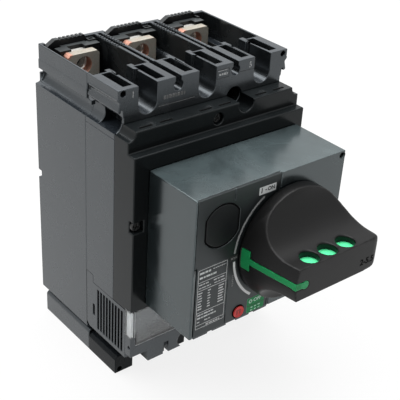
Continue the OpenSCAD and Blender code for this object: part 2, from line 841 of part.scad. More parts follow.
// A terminal bar of pole k at the upper end, or at the lower one when s is -1.
module bar(k, s) color(tin) {
    x = poles[k];
    top = end_z - bar_drop;
    corner = 1.3;
    mirror([0, 0, s < 0 ? 1 : 0])
        difference() {
            front_outline([bar_depth - bar_t, bar_depth])
                polygon([[x - bar_w / 2, chamber_z], [x + bar_w / 2, chamber_z],
                         [x + bar_w / 2, top - corner], [x + bar_w / 2 - corner, top],
                         [x - bar_w / 2 + corner, top], [x - bar_w / 2, top - corner]]);
            rod(x, hole_z, bar_hole_r, [bar_depth - bar_t - eps, bar_depth + eps]);
        }
}

module nut(k, s) color([0.7, 0.7, 0.68]) {
    thread_r = 3.4;
    bevel = 0.8;
    mirror([0, 0, s < 0 ? 1 : 0])
        difference() {
            block([poles[k] - nut_w / 2, poles[k] + nut_w / 2], [nut_back, bar_depth - bar_t],
                  [hole_z - nut_w / 2, hole_z + nut_w / 2]);
            rod(poles[k], hole_z, thread_r, [nut_back - eps, bar_depth - bar_t + eps]);
            translate([poles[k], -(bar_depth - bar_t - bevel), hole_z]) rotate([90, 0, 0])
                cylinder(r1 = thread_r, r2 = thread_r + bevel + eps, h = bevel + eps);
        }
}

// Stepped insulating cover behind a bar; its hook closes the back wall.
module back_cover(k, s) color(black) {
    x = poles[k];
    top = end_z + (s > 0 ? cover_rise : -0.3);
    hook = [x - hook_w[0], x + hook_w[1]];
    slope = [4.6, 1.2];                        // slant at either end of the hook's top
    slope_h = 1.6;
    hook_foot = end_z - hook_h;
    rib_n = 7;
    rib_pitch = 2.4;
    rib_w = 1;
    rib_h = 0.4;
    ledge = end_z - 2;
    shelf_t = 1.6;
    web = [x - 6.6, x + 8];                    // strip in front of the hook
    web_gap = 1.3;
    web_t = nut_back - chamber_back - clear;
    web_drop = 1.5;
    step_x = [x - 8, x - 4.3, x + 4.5, x + 8];
    right_back = nut_back - 2;
    right_front = bar_depth - bar_t - 1.3;
    post_wall = 0.8;
    post_t = 3.4;
    post_foot = hook_foot - 3;
    side_gap = 0.2;
    outer = neck_x - outer_wall - side_gap;
    left = max(x - 14.3, -outer);
    right = min(x + 13.3, outer);
    difference() {
        mirror([0, 0, s < 0 ? 1 : 0]) difference() {
            union() {
                block([left, right], [chamber_back, nut_back], [chamber_z, hook_foot]);
                front_outline([end_back, chamber_back + eps])
                    polygon([[hook[0], hook_foot], [hook[1], hook_foot],
                             [hook[1], top - slope_h], [hook[1] - slope[1], top],
                             [hook[0] + slope[0], top], [hook[0], end_z - slope_h]]);
                block(web, [chamber_back, chamber_back + web_t], [hook_foot - eps, ledge - web_drop]);
                block(web, [chamber_back + web_gap, chamber_back + web_t],
                      [hook_foot - eps, ledge]);
                block([left, web[0] + eps], [chamber_back, chamber_back + post_wall],
                      [hook_foot - eps, ledge]);
                block([left, step_x[0]], [nut_back - eps, bar_depth - bar_t], [chamber_z, ledge]);
                block([left, step_x[1]], [nut_back - eps, bar_depth - bar_t],
                      [ledge - shelf_t, ledge]);
                block([step_x[3], right], [right_back, right_front], [chamber_z, ledge]);
                block([step_x[2], right], [right_back, right_front], [ledge - shelf_t, ledge]);
                block([hook[1] + side_gap, right], [chamber_back, chamber_back + post_t],
                      [post_foot, ledge + shelf_t / 2]);
            }
            for (k = [1 : rib_n])
                block([hook[0] + slope[0] + k * rib_pitch, hook[0] + slope[0] + k * rib_pitch + rib_w],
                      [end_back - eps, chamber_back + 2 * eps], [top - rib_h, top + eps]);
            block([hook[1] + side_gap + post_wall, right - post_wall],
                  [chamber_back + post_wall, chamber_back + post_t - post_wall],
                  [post_foot + post_wall, ledge + shelf_t]);
            block([left + post_wall, web[0] - post_wall],
                  [chamber_back + post_wall, nut_back - post_wall], [post_foot, hook_foot + eps]);
        }
        fixing_tubes([-eps, bar_depth], s, tube_gap);
    }
}

rear_case();
front_case();
front_cover();
trip_unit();
lower_terminal_block();
setting_cover();
setting_dial(-1);  // setting_dial_left
setting_dial(1);  // setting_dial_right
side_panel(-1);  // side_panel_left
side_panel(1);  // side_panel_right
vent_panel(-1);  // vent_panel_left
vent_panel(1);  // vent_panel_right
handle_box();
face_plate();
key_lock_blank();
rating_plate();
travel_arcs();
on_label();
off_label();
trip_button();
handle();
padlock_slide();
bar(0, 1);  // line_bar_1
bar(1, 1);  // line_bar_2
bar(2, 1);  // line_bar_3
bar(0, -1);  // load_bar_1
bar(1, -1);  // load_bar_2
bar(2, -1);  // load_bar_3
nut(0, 1);  // line_nut_1
nut(1, 1);  // line_nut_2
nut(2, 1);  // line_nut_3
nut(0, -1);  // load_nut_1
nut(1, -1);  // load_nut_2
nut(2, -1);  // load_nut_3
back_cover(0, 1);  // line_back_cover_1
back_cover(1, 1);  // line_back_cover_2
back_cover(2, 1);  // line_back_cover_3
back_cover(0, -1);  // load_back_cover_1
back_cover(1, -1);  // load_back_cover_2
back_cover(2, -1);  // load_back_cover_3
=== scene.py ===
import math

import bpy
from mathutils import Matrix, Vector


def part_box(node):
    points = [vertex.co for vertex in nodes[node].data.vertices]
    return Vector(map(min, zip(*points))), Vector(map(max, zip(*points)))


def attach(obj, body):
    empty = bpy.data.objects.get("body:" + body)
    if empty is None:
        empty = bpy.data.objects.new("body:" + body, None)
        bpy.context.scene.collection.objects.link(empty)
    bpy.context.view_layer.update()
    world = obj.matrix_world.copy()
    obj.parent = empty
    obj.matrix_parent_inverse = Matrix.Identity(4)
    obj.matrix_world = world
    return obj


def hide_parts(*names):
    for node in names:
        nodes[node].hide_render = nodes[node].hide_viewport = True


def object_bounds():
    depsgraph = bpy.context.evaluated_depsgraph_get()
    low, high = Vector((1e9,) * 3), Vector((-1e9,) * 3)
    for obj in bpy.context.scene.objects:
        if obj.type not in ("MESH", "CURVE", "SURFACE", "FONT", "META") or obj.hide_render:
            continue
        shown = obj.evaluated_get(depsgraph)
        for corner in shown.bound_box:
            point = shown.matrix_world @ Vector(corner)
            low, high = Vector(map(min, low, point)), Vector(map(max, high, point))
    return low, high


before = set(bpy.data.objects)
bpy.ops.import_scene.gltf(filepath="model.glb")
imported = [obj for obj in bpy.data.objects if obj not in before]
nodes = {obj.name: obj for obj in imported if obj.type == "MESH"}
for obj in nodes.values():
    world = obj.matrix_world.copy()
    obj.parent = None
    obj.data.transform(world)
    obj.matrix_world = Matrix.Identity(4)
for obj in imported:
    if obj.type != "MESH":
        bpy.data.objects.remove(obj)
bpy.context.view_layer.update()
mm = 0.001
print("frame loaded:", len(nodes), "nodes")


# small helpers

def clearSelection():
    bpy.ops.object.select_all(action="DESELECT")


def pick(piece):
    clearSelection()
    piece.select_set(True)
    bpy.context.view_layer.objects.active = piece


def applyPlace(piece):
    pick(piece)
    bpy.ops.object.transform_apply(location=True, rotation=True, scale=True)


def finishPiece(piece, name, body, surface, angle=35):
    piece.name = name
    piece.data.name = name
    applyPlace(piece)
    piece.data.materials.clear()
    piece.data.materials.append(surface)
    bpy.ops.object.shade_smooth_by_angle(angle=math.radians(angle))
    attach(piece, body)
    clearSelection()
    return piece


def clearMesh(piece):
    for group in (piece.data.vertices, piece.data.edges, piece.data.polygons):
        group.foreach_set("select", [False] * len(group))


forward = -0.9   # a face looks forward when its normal's Y is below this


def selectFaces(piece, test):
    # picks the faces whose centre and normal pass the test, from object mode
    bpy.ops.object.mode_set(mode="OBJECT")
    clearMesh(piece)
    for face in piece.data.polygons:
        face.select = test(face.center, face.normal)
    bpy.ops.object.mode_set(mode="EDIT")


def corners(nodeName):
    # a node's lowest and highest corners at rest, in mm
    return [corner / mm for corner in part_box(nodeName)]


def front(nodeName):
    return -corners(nodeName)[0][1]


def frontMiddle(low, high):
    return (low[0] + high[0]) / 2, (low[2] + high[2]) / 2


# effects shared by several materials

def newGroup(name, inputs, outputs):
    group = bpy.data.node_groups.new(name, "ShaderNodeTree")
    for title, kind, value in inputs:
        socket = group.interface.new_socket(name=title, in_out="INPUT", socket_type=kind)
        socket.default_value = value
    for title, kind in outputs:
        group.interface.new_socket(name=title, in_out="OUTPUT", socket_type=kind)
    return group, group.nodes.new("NodeGroupInput"), group.nodes.new("NodeGroupOutput")


def place(tree, kind, **values):
    node = tree.nodes.new(kind)
    for key, value in values.items():
        if key in node.inputs:
            node.inputs[key].default_value = value
        else:
            setattr(node, key, value)
    return node


def feed(tree, source, socket):
    # a socket takes another node's output or a plain value
    if isinstance(source, bpy.types.NodeSocket):
        tree.links.new(source, socket)
    else:
        socket.default_value = source


def calculate(tree, operation, *sources):
    node = place(tree, "ShaderNodeMath", operation=operation)
    for socket, source in zip(node.inputs, sources):
        feed(tree, source, socket)
    return node.outputs["Value"]


def ramp(tree, source, start, end, low=0.0, high=1.0):
    # low up to start, high from end on
    node = place(tree, "ShaderNodeMapRange")
    for title, level in (("Value", source), ("From Min", start), ("From Max", end),
                         ("To Min", low), ("To Max", high)):
        feed(tree, level, node.inputs[title])
    return node.outputs["Result"]


def mixColours(tree, share, first, second):
    node = place(tree, "ShaderNodeMix", data_type="RGBA")
    for title, source in (("Factor", share), ("A", first), ("B", second)):
        feed(tree, source, node.inputs[title])
    return node.outputs["Result"]


def noise(tree, vector, scale, detail, roughness=0.5, distortion=0.0):
    node = place(tree, "ShaderNodeTexNoise", Detail=detail, Roughness=roughness, Distortion=distortion)
    feed(tree, vector, node.inputs["Vector"])
    feed(tree, scale, node.inputs["Scale"])
    return node.outputs["Fac"]


def length(tree, vector):
    node = place(tree, "ShaderNodeVectorMath", operation="LENGTH")
    feed(tree, vector, node.inputs[0])
    return node.outputs["Value"]


def parts(tree, vector):
    # the X, Y and Z of a vector
    node = place(tree, "ShaderNodeSeparateXYZ")
    feed(tree, vector, node.inputs["Vector"])
    return node.outputs


def objectSpot(tree):
    return place(tree, "ShaderNodeTexCoord").outputs["Object"]


def buildSoftEdge():
    # rounds sharp corners in the shading and finds them for the paler edges, which are wear and painted edge
    # highlight
    group, into, out = newGroup(
        "softEdge", [("Radius", "NodeSocketFloat", 0.0004)],
        [("Normal", "NodeSocketVector"), ("Edge", "NodeSocketFloat")])
    corner = place(group, "ShaderNodeBevel", samples=6)
    feed(group, into.outputs["Radius"], corner.inputs["Radius"])
    feed(group, corner.outputs["Normal"], out.inputs["Normal"])
    turn = place(group, "ShaderNodeVectorMath", operation="DOT_PRODUCT")
    feed(group, corner.outputs["Normal"], turn.inputs[0])
    feed(group, place(group, "ShaderNodeNewGeometry").outputs["True Normal"], turn.inputs[1])
    feed(group, ramp(group, turn.outputs["Value"], 0.995, 0.85), out.inputs["Edge"])
    return group


def buildMouldedSkin():
    # cloudy handling marks, a paler colour on upward faces that is dust and painted top light, a fine grain,
    # and paler edges that are wear and painted edge highlight
    group, into, out = newGroup(
        "mouldedSkin",
        [("Base", "NodeSocketColor", (0.03, 0.03, 0.03, 1)),
         ("Bloom", "NodeSocketColor", (0.06, 0.065, 0.065, 1)),
         ("Wear And Lit Edge", "NodeSocketColor", (0.1, 0.1, 0.1, 1)),
         ("Edge", "NodeSocketFloat", 0.0),
         ("Dust And Top Light", "NodeSocketColor", (0.08, 0.08, 0.08, 1)),
         ("Dust And Top Light Amount", "NodeSocketFloat", 0.0),
         ("Bloom Scale", "NodeSocketFloat", 40.0),
         ("Bloom Start", "NodeSocketFloat", 0.42),
         ("Bloom End", "NodeSocketFloat", 0.72),
         ("Grain Scale", "NodeSocketFloat", 2600.0),
         ("Roughness Low", "NodeSocketFloat", 0.32),
         ("Roughness High", "NodeSocketFloat", 0.46)],
        [("Color", "NodeSocketColor"), ("Roughness", "NodeSocketFloat"), ("Height", "NodeSocketFloat")])
    given = into.outputs
    spot = objectSpot(group)
    spread = ramp(group, noise(group, spot, given["Bloom Scale"], 5.0, 0.6, 0.4),
                  given["Bloom Start"], given["Bloom End"])
    tint = mixColours(group, spread, given["Base"], given["Bloom"])
    # dust and painted top light: the upward faces take a paler colour, for dust and for the light falling on
    # the tops
    upward = parts(group, place(group, "ShaderNodeTexCoord").outputs["Normal"])["Z"]
    topPatchNoise = noise(group, spot, 28.0, 6.0, 0.62, 0.8)
    dustAndTopLightMask = calculate(group, "MULTIPLY", ramp(group, upward, 0.6, 1.0), ramp(group, topPatchNoise, 0.3, 0.7, 0.35))
    dustAndTopLight = calculate(group, "MULTIPLY", dustAndTopLightMask, given["Dust And Top Light Amount"])
    dustedAndTopLit = mixColours(group, dustAndTopLight, tint, given["Dust And Top Light"])
    # wear and painted highlight: the edges take a paler colour, for wear and for the light caught on rounded
    # edges
    rubbed = ramp(group, noise(group, spot, 180.0, 3.0, 0.6), 0.38, 0.62)
    wearAndLitEdge = calculate(group, "MULTIPLY", rubbed, given["Edge"])
    gloss = ramp(group, spread, 0.0, 1.0, given["Roughness Low"], given["Roughness High"])
    feed(group, mixColours(group, wearAndLitEdge, dustedAndTopLit, given["Wear And Lit Edge"]), out.inputs["Color"])
    feed(group, gloss, out.inputs["Roughness"])
    feed(group, noise(group, spot, given["Grain Scale"], 2.0), out.inputs["Height"])
    return group


def buildPlatedMetal():
    # dull plating with rubbed spots and drawn streaks
    group, into, out = newGroup(
        "platedMetal",
        [("Plate", "NodeSocketColor", (0.6, 0.56, 0.5, 1)),
         ("Core", "NodeSocketColor", (0.55, 0.25, 0.14, 1)),
         ("Tarnish", "NodeSocketColor", (0.3, 0.28, 0.24, 1)),
         ("Wear", "NodeSocketFloat", 0.0),
         ("Streak Scale", "NodeSocketFloat", 300.0),
         ("Roughness Low", "NodeSocketFloat", 0.25),
         ("Roughness High", "NodeSocketFloat", 0.5)],
        [("Color", "NodeSocketColor"), ("Roughness", "NodeSocketFloat"), ("Height", "NodeSocketFloat")])
    given = into.outputs
    spot = objectSpot(group)
    stretch = place(group, "ShaderNodeMapping", Scale=(1.0, 1.0, 0.15))
    feed(group, spot, stretch.inputs["Vector"])
    streaks = noise(group, stretch.outputs["Vector"], given["Streak Scale"], 3.0)
    spots = ramp(group, noise(group, spot, 420.0, 4.0, 0.65), 0.5, 0.72)
    bare = calculate(group, "MULTIPLY_ADD", spots, 0.25, given["Wear"])
    bare.node.use_clamp = True
    dull = ramp(group, noise(group, spot, 900.0, 5.0, 0.7), 0.4, 0.62)
    skin = mixColours(group, dull, given["Plate"], given["Tarnish"])
    gloss = ramp(group, streaks, 0.0, 1.0, given["Roughness Low"], given["Roughness High"])
    feed(group, mixColours(group, bare, skin, given["Core"]), out.inputs["Color"])
    feed(group, gloss, out.inputs["Roughness"])
    feed(group, streaks, out.inputs["Height"])
    return group


softEdge = buildSoftEdge()
mouldedSkin = buildMouldedSkin()
platedMetal = buildPlatedMetal()


# materials

def newMaterial(name):
    surface = bpy.data.materials.new(name)
    surface.use_nodes = True
    tree = surface.node_tree
    shader = tree.nodes["Principled BSDF"]
    return surface, tree, shader


def useGroup(tree, group, **values):
    node = tree.nodes.new("ShaderNodeGroup")
    node.node_tree = group
    for key, value in values.items():
        node.inputs[key].default_value = value
    return node


def addEdge(tree, radius):
    return useGroup(tree, softEdge, Radius=radius)


def addBump(tree, shader, edge, height, distance, strength):
    bump = tree.nodes.new("ShaderNodeBump")
    bump.inputs["Distance"].default_value = distance
    bump.inputs["Strength"].default_value = strength
    tree.links.new(height, bump.inputs["Height"])
    tree.links.new(edge.outputs["Normal"], bump.inputs["Normal"])
    tree.links.new(bump.outputs["Normal"], shader.inputs["Normal"])


def mouldedMaterial(name, base, bloom, wearAndLitEdge=None, low=0.32, high=0.46, scale=40.0, start=0.42,
                    end=0.72, grain=2600.0, bumpDepth=0.00004, bumpStrength=0.35, ior=1.5,
                    glint=(1, 1, 1), edgeRadius=0.0004, dustAndTopLight=(0.05, 0.05, 0.05), dustAndTopLightAmount=0.0):
    surface, tree, shader = newMaterial(name)
    wearAndLitEdge = wearAndLitEdge or [min(1.0, 2.2 * level + 0.02) for level in bloom]
    edge = addEdge(tree, edgeRadius)
    skin = useGroup(tree, mouldedSkin, **{
        "Base": (*base, 1), "Bloom": (*bloom, 1), "Wear And Lit Edge": (*wearAndLitEdge, 1), "Dust And Top Light": (*dustAndTopLight, 1),
        "Dust And Top Light Amount": dustAndTopLightAmount, "Bloom Scale": scale,
        "Bloom Start": start, "Bloom End": end, "Grain Scale": grain,
        "Roughness Low": low, "Roughness High": high})
    tree.links.new(edge.outputs["Edge"], skin.inputs["Edge"])
    tree.links.new(skin.outputs["Color"], shader.inputs["Base Color"])
    tree.links.new(skin.outputs["Roughness"], shader.inputs["Roughness"])
    shader.inputs["IOR"].default_value = ior
    shader.inputs["Specular Tint"].default_value = (*glint, 1)
    addBump(tree, shader, edge, skin.outputs["Height"], bumpDepth, bumpStrength)
    return surface


bars = {"pitch": 35.0, "holeZ": 71.1, "holeRadius": 4.5, "holeRim": 0.1, "copper": 3.4}


def platedMaterial(name, plate, tarnish, core, low, high, metal=1.0, wearNode=None):
    surface, tree, shader = newMaterial(name)
    plated = useGroup(tree, platedMetal, **{
        "Plate": (*plate, 1), "Tarnish": (*tarnish, 1), "Core": (*core, 1),
        "Roughness Low": low, "Roughness High": high})
    if wearNode:
        wearNode(tree, plated)
    tree.links.new(plated.outputs["Color"], shader.inputs["Base Color"])
    tree.links.new(plated.outputs["Roughness"], shader.inputs["Roughness"])
    shader.inputs["Metallic"].default_value = metal
    addBump(tree, shader, addEdge(tree, 0.0003), plated.outputs["Height"], 0.00003, 0.3)
    return surface


def copperCorners(tree, plated):
    # bare copper on the left top chamfer of each bar and on the right wall of its hole
    low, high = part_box("line_bar_2")
    split = parts(tree, objectSpot(tree))
    across = calculate(tree, "WRAP", split["X"], bars["pitch"] / 2 * mm, -bars["pitch"] / 2 * mm)
    height = calculate(tree, "ABSOLUTE", split["Z"])
    reach = high[0] + high[2]
    chamfer = ramp(tree, calculate(tree, "SUBTRACT", height, across),
                   reach - bars["copper"] * mm, reach - 0.6 * bars["copper"] * mm)
    holeSpot = place(tree, "ShaderNodeCombineXYZ")
    feed(tree, across, holeSpot.inputs["X"])
    feed(tree, calculate(tree, "SUBTRACT", height, bars["holeZ"] * mm), holeSpot.inputs["Y"])
    inside = calculate(tree, "LESS_THAN", length(tree, holeSpot.outputs["Vector"]),
                       (bars["holeRadius"] + bars["holeRim"]) * mm)
    wall = calculate(tree, "MULTIPLY", inside, ramp(tree, across, 0.0, mm))
    feed(tree, calculate(tree, "MAXIMUM", chamfer, wall), plated.inputs["Wear"])


# in the materials below, the colour laid on upward faces is far paler than the base, for dust and painted top
# light, and the colour on the edges is wear and painted edge highlight
casePlastic = mouldedMaterial("casePlastic", (0.0048, 0.0056, 0.0062), (0.014, 0.0155, 0.0165),
                              wearAndLitEdge=(0.02, 0.023, 0.026), low=0.24, high=0.34, scale=75.0,
                              start=0.46, end=0.78, ior=1.7,
                              glint=(0.84, 0.93, 1), bumpStrength=0.15, edgeRadius=0.0002,
                              dustAndTopLight=(0.018, 0.023, 0.029), dustAndTopLightAmount=1.0)
coverPlastic = mouldedMaterial("coverPlastic", (0.0022, 0.0027, 0.003), (0.0036, 0.0042, 0.0046),
                               wearAndLitEdge=(0.014, 0.016, 0.017), low=0.2, high=0.28, ior=1.3,
                               glint=(0.9, 0.98, 1), bumpStrength=0.12,
                               dustAndTopLight=(0.012, 0.0145, 0.0155), dustAndTopLightAmount=1.0)
boxPlastic = mouldedMaterial("boxPlastic", (0.005, 0.0074, 0.0082), (0.015, 0.021, 0.023),
                             wearAndLitEdge=(0.12, 0.15, 0.155), low=0.2, high=0.34, scale=34.0, ior=1.75,
                             glint=(0.84, 0.97, 1), bumpStrength=0.12,
                             dustAndTopLight=(0.06, 0.08, 0.084), dustAndTopLightAmount=1.0)
facePlastic = mouldedMaterial("facePlastic", (0.0036, 0.0048, 0.0052), (0.006, 0.0078, 0.0084),
                              wearAndLitEdge=(0.09, 0.11, 0.115), low=0.34, high=0.42, scale=60.0, ior=1.5,
                              glint=(0.88, 0.97, 1), bumpStrength=0.12)
lockPlastic = mouldedMaterial("lockPlastic", (0.004, 0.0052, 0.0058), (0.006, 0.0075, 0.008),
                              wearAndLitEdge=(0.012, 0.014, 0.015), low=0.4, high=0.5, ior=1.3,
                              bumpStrength=0.12)
blackPlastic = mouldedMaterial("blackPlastic", (0.004, 0.0042, 0.0046), (0.007, 0.0072, 0.0078),
                               wearAndLitEdge=(0.03, 0.032, 0.033), low=0.3, high=0.4, ior=1.3,
                               bumpStrength=0.15, dustAndTopLight=(0.05, 0.056, 0.058), dustAndTopLightAmount=1.0)
handlePlastic = mouldedMaterial("handlePlastic", (0.0016, 0.0016, 0.0017), (0.0024, 0.0024, 0.0026),
                                wearAndLitEdge=(0.05, 0.05, 0.05), low=0.38, high=0.46, ior=1.32,
                                bumpStrength=0.12)
greenPlastic = mouldedMaterial("greenPlastic", (0.004, 0.19, 0.055), (0.006, 0.21, 0.065),
                               low=0.4, high=0.46, bumpStrength=0.15, ior=1.26)
redPlastic = mouldedMaterial("redPlastic", (0.5, 0.02, 0.018), (0.56, 0.03, 0.028), low=0.4,
                             high=0.5, bumpStrength=0.15, ior=1.38)
lightPrint = mouldedMaterial("lightPrint", (0.54, 0.56, 0.56), (0.6, 0.62, 0.62), low=0.5, high=0.6)
greyPrint = mouldedMaterial("greyPrint", (0.46, 0.47, 0.47), (0.58, 0.59, 0.59), low=0.5, high=0.6)
dullPrint = mouldedMaterial("dullPrint", (0.1, 0.102, 0.1), (0.15, 0.152, 0.15), low=0.5, high=0.6)
darkPrint = mouldedMaterial("darkPrint", (0.004, 0.004, 0.004), (0.007, 0.007, 0.007), low=0.5, high=0.6)
mintPrint = mouldedMaterial("mintPrint", (0.42, 0.66, 0.52), (0.48, 0.72, 0.58), low=0.5, high=0.6)
# a near black for print and dark joints, and for painted shade in gaps and grooves
printAndShadeBlack = mouldedMaterial("printAndShadeBlack", (0.0015, 0.0015, 0.0016), (0.0025, 0.0025, 0.0026),
                            wearAndLitEdge=(0.002, 0.002, 0.002), low=0.7, high=0.8, ior=1.12)
# painted shade: a copy of the case plastic that reflects far less, for the lower terminal block, which sits
# in shade near the floor
shadedCasePlastic = mouldedMaterial("shadedCasePlastic", (0.006, 0.0068, 0.0074), (0.01, 0.011, 0.012),
                               wearAndLitEdge=(0.02, 0.023, 0.026), low=0.26, high=0.36, scale=75.0, ior=1.2,
                               glint=(0.84, 0.93, 1), bumpStrength=0.15,
                               dustAndTopLight=(0.014, 0.017, 0.02), dustAndTopLightAmount=1.0)
darkRed = mouldedMaterial("darkRed", (0.09, 0.006, 0.006), (0.12, 0.01, 0.01), low=0.5, high=0.6)
screwBlack = mouldedMaterial("screwBlack", (0.003, 0.003, 0.003), (0.006, 0.006, 0.006),
                             wearAndLitEdge=(0.05, 0.05, 0.05), low=0.3, high=0.4)
# painted light: the white and the pale grey below stand for the light glowing in the clear cover's side and
# on its edges
paintedSideGlow = mouldedMaterial("paintedSideGlow", (0.8, 0.81, 0.82), (0.88, 0.89, 0.9), low=0.3, high=0.4,
                             scale=160.0)
paintedEdgeGlow = mouldedMaterial("paintedEdgeGlow", (0.42, 0.43, 0.44), (0.6, 0.61, 0.62), low=0.2,
                               high=0.3, scale=160.0, bumpStrength=0.2)
tinnedCopper = platedMaterial("tinnedCopper", (0.46, 0.44, 0.39), (0.4, 0.37, 0.3),
                              (0.6, 0.31, 0.23), 0.35, 0.55, metal=0.6, wearNode=copperCorners)
zincSteel = platedMaterial("zincSteel", (0.85, 0.84, 0.8), (0.6, 0.58, 0.54), (0.5, 0.49, 0.46),
                           0.15, 0.3, metal=0.4)


def clearMaterial(name):
    surface, tree, shader = newMaterial(name)
    skin = useGroup(tree, mouldedSkin, **{
        "Base": (0.86, 0.89, 0.90, 1), "Bloom": (0.80, 0.83, 0.84, 1), "Bloom Scale": 60.0,
        "Grain Scale": 900.0, "Roughness Low": 0.05, "Roughness High": 0.12})
    tree.links.new(skin.outputs["Color"], shader.inputs["Base Color"])
    tree.links.new(skin.outputs["Roughness"], shader.inputs["Roughness"])
    shader.inputs["Transmission Weight"].default_value = 0.93
    shader.inputs["IOR"].default_value = 1.46
    return surface


clearPlastic = clearMaterial("clearPlastic")


# painted light: distances in mm behind the slide's tip and its front, each with the fade between the two
# greens; the paler green stands for the light falling through the padlock holes
slidePaintedLight = {"fromTip": (7.5, 8.0), "fromFront": (1.9, 2.1), "outside": 0.12,
             "colour": (0.11, 0.84, 0.37, 1)}


def slideMaterial(name):
    # painted light: the stop behind the padlock holes is a paler green than the arm that shows outside, for
    # the light falling on it through the holes, and the arm's front gets a little of that paler green too
    surface = greenPlastic.copy()
    surface.name = name
    tree = surface.node_tree
    low = corners("padlock_slide")[0]
    skin = next(node for node in tree.nodes if node.type == "GROUP" and node.node_tree == mouldedSkin)
    split = parts(tree, objectSpot(tree))
    inner = ramp(tree, split["X"], *((low[0] + level) * mm for level in slidePaintedLight["fromTip"]))
    behind = ramp(tree, split["Y"], *((low[1] + level) * mm for level in slidePaintedLight["fromFront"]),
                  slidePaintedLight["outside"])
    pale = calculate(tree, "MULTIPLY", inner, behind)
    feed(tree, mixColours(tree, pale, skin.outputs["Color"], slidePaintedLight["colour"]),
         tree.nodes["Principled BSDF"].inputs["Base Color"])
    return surface


arcPrint = {"out": 2.4, "half": 0.6, "fade": 0.1, "upper": (0.24, 0.245, 0.245, 1),
            "lower": (0.58, 0.59, 0.59, 1)}


def arcMaterial(name):
    # the printed stripes are narrower than their recess, and the lower one is the lighter; painted shade: the
    # upper one is painted darker for the knob's shade falling on it
    surface, tree, shader = newMaterial(name)
    low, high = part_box("handle")
    axis = frontMiddle(low, high)
    radius = max(high[0] - axis[0], high[2] - axis[1]) + arcPrint["out"] * mm
    skin = useGroup(tree, mouldedSkin, **{
        "Base": (0.004, 0.0045, 0.0045, 1), "Bloom": (0.006, 0.0065, 0.0065, 1)})
    flat = place(tree, "ShaderNodeMapping", Location=(-axis[0], 0, -axis[1]), Scale=(1, 0, 1))
    feed(tree, objectSpot(tree), flat.inputs["Vector"])
    away = calculate(tree, "SUBTRACT", length(tree, flat.outputs["Vector"]), radius)
    stripe = ramp(tree, calculate(tree, "ABSOLUTE", away),
                  (arcPrint["half"] + arcPrint["fade"]) * mm, arcPrint["half"] * mm)
    # painted shade: the upper half of the stripes takes the darker grey
    upper = ramp(tree, parts(tree, flat.outputs["Vector"])["Z"], -2 * mm, 0.0)
    shadedAndLitTone = mixColours(tree, upper, arcPrint["lower"], arcPrint["upper"])
    feed(tree, mixColours(tree, stripe, skin.outputs["Color"], shadedAndLitTone), shader.inputs["Base Color"])
    shader.inputs["Roughness"].default_value = 0.5
    return surface


slidePlastic = slideMaterial("slidePlastic")
arcPaint = arcMaterial("arcPaint")
print("materials built")


# CAD nodes with softened edges

# corners left sharp, in mm: the back's grooves, the thin lips of the neck, the box's foot, and the
# edge where the box and the face plate meet at the left
sharp = {"back": -3.6, "neckX": 48, "neckY": (-70.8, -47.5), "neckZ": (66, 78.5), "boxFoot": -28.9,
         "boxEdge": (-43.6, -42.8)}


def onBack(spot):
    return spot.y > sharp["back"]


def onNeck(spot):
    return (abs(spot.x) > sharp["neckX"] and sharp["neckY"][0] < spot.y < sharp["neckY"][1]
            and sharp["neckZ"][0] < abs(spot.z) < sharp["neckZ"][1])


def onBoxEdge(spot):
    return spot.z < sharp["boxFoot"] or sharp["boxEdge"][0] < spot.x < sharp["boxEdge"][1]


def onPlateEdge(spot):
    return spot.x < sharp["boxEdge"][1]


roundedNodes = {
    # node: (piece, body, slot, material, edge width in mm, corners left sharp)
    "rear_case": ("rearCase", "case", "case_plastic", casePlastic, 0.35, onBack),
    "front_case": ("frontCase", "case", "case_plastic", casePlastic, 0.3, onNeck),
    "lower_terminal_block": ("lowerTerminalBlock", "case", "case_plastic", shadedCasePlastic, 0.3),
    "trip_unit": ("tripUnit", "case", "case_plastic", casePlastic, 0.3),
    "vent_panel_left": ("ventPanelLeft", "case", "case_plastic", casePlastic, 0.2),
    "vent_panel_right": ("ventPanelRight", "case", "case_plastic", casePlastic, 0.2),
    "front_cover": ("frontCover", "case", "cover_plastic", coverPlastic, 0.45),
    "side_panel_left": ("sidePanelLeft", "case", "cover_plastic", casePlastic, 0.2),
    "side_panel_right": ("sidePanelRight", "case", "cover_plastic", casePlastic, 0.2),
    "handle_box": ("handleBox", "case", "box_plastic", boxPlastic, 0.6, onBoxEdge),
    "face_plate": ("facePlate", "case", "box_plastic", facePlastic, 0.2, onPlateEdge),
    "key_lock_blank": ("keyLockBlank", "case", "black_plastic", lockPlastic, 0.25),
}
# in mm and degrees, and the number of sides from which a face counts as long and winding
rounding = {"merge": 0.002, "flat": 0.6, "sharpest": 35, "narrowest": 0.8, "fullRoom": 2.6, "manySided": 9}


def weighEdges(piece, width, skip):
    # sharp edges between roomy faces get the full width, narrow ones a share of it
    mesh = piece.data
    spots = [vertex.co / mm for vertex in mesh.vertices]
    sides = {}
    for face in mesh.polygons:
        rim = sum((spots[a] - spots[b]).length for a, b in face.edge_keys)
        for key in face.edge_keys:
            sides.setdefault(key, []).append((face.normal, face.area / mm ** 2, rim, len(face.vertices)))
    weights = []
    for edge in mesh.edges:
        a, b = (spots[i] for i in edge.vertices)
        run = (a - b).length
        pair = sides.get(edge.key, [])
        weight = 0.0
        if (len(pair) == 2 and run > 0 and not (skip(a) and skip(b))
                and pair[0][0].angle(pair[1][0], 0) > math.radians(rounding["sharpest"])):
            room = min(area / run if sideCount < rounding["manySided"] else min(area / run, 2 * area / rim)
                       for normal, area, rim, sideCount in pair)
            if room > rounding["narrowest"]:
                weight = min(1.0, room / (rounding["fullRoom"] * width))
        weights.append(weight)
    layer = mesh.attributes.new("bevel_weight_edge", "FLOAT", "EDGE")
    layer.data.foreach_set("value", weights)


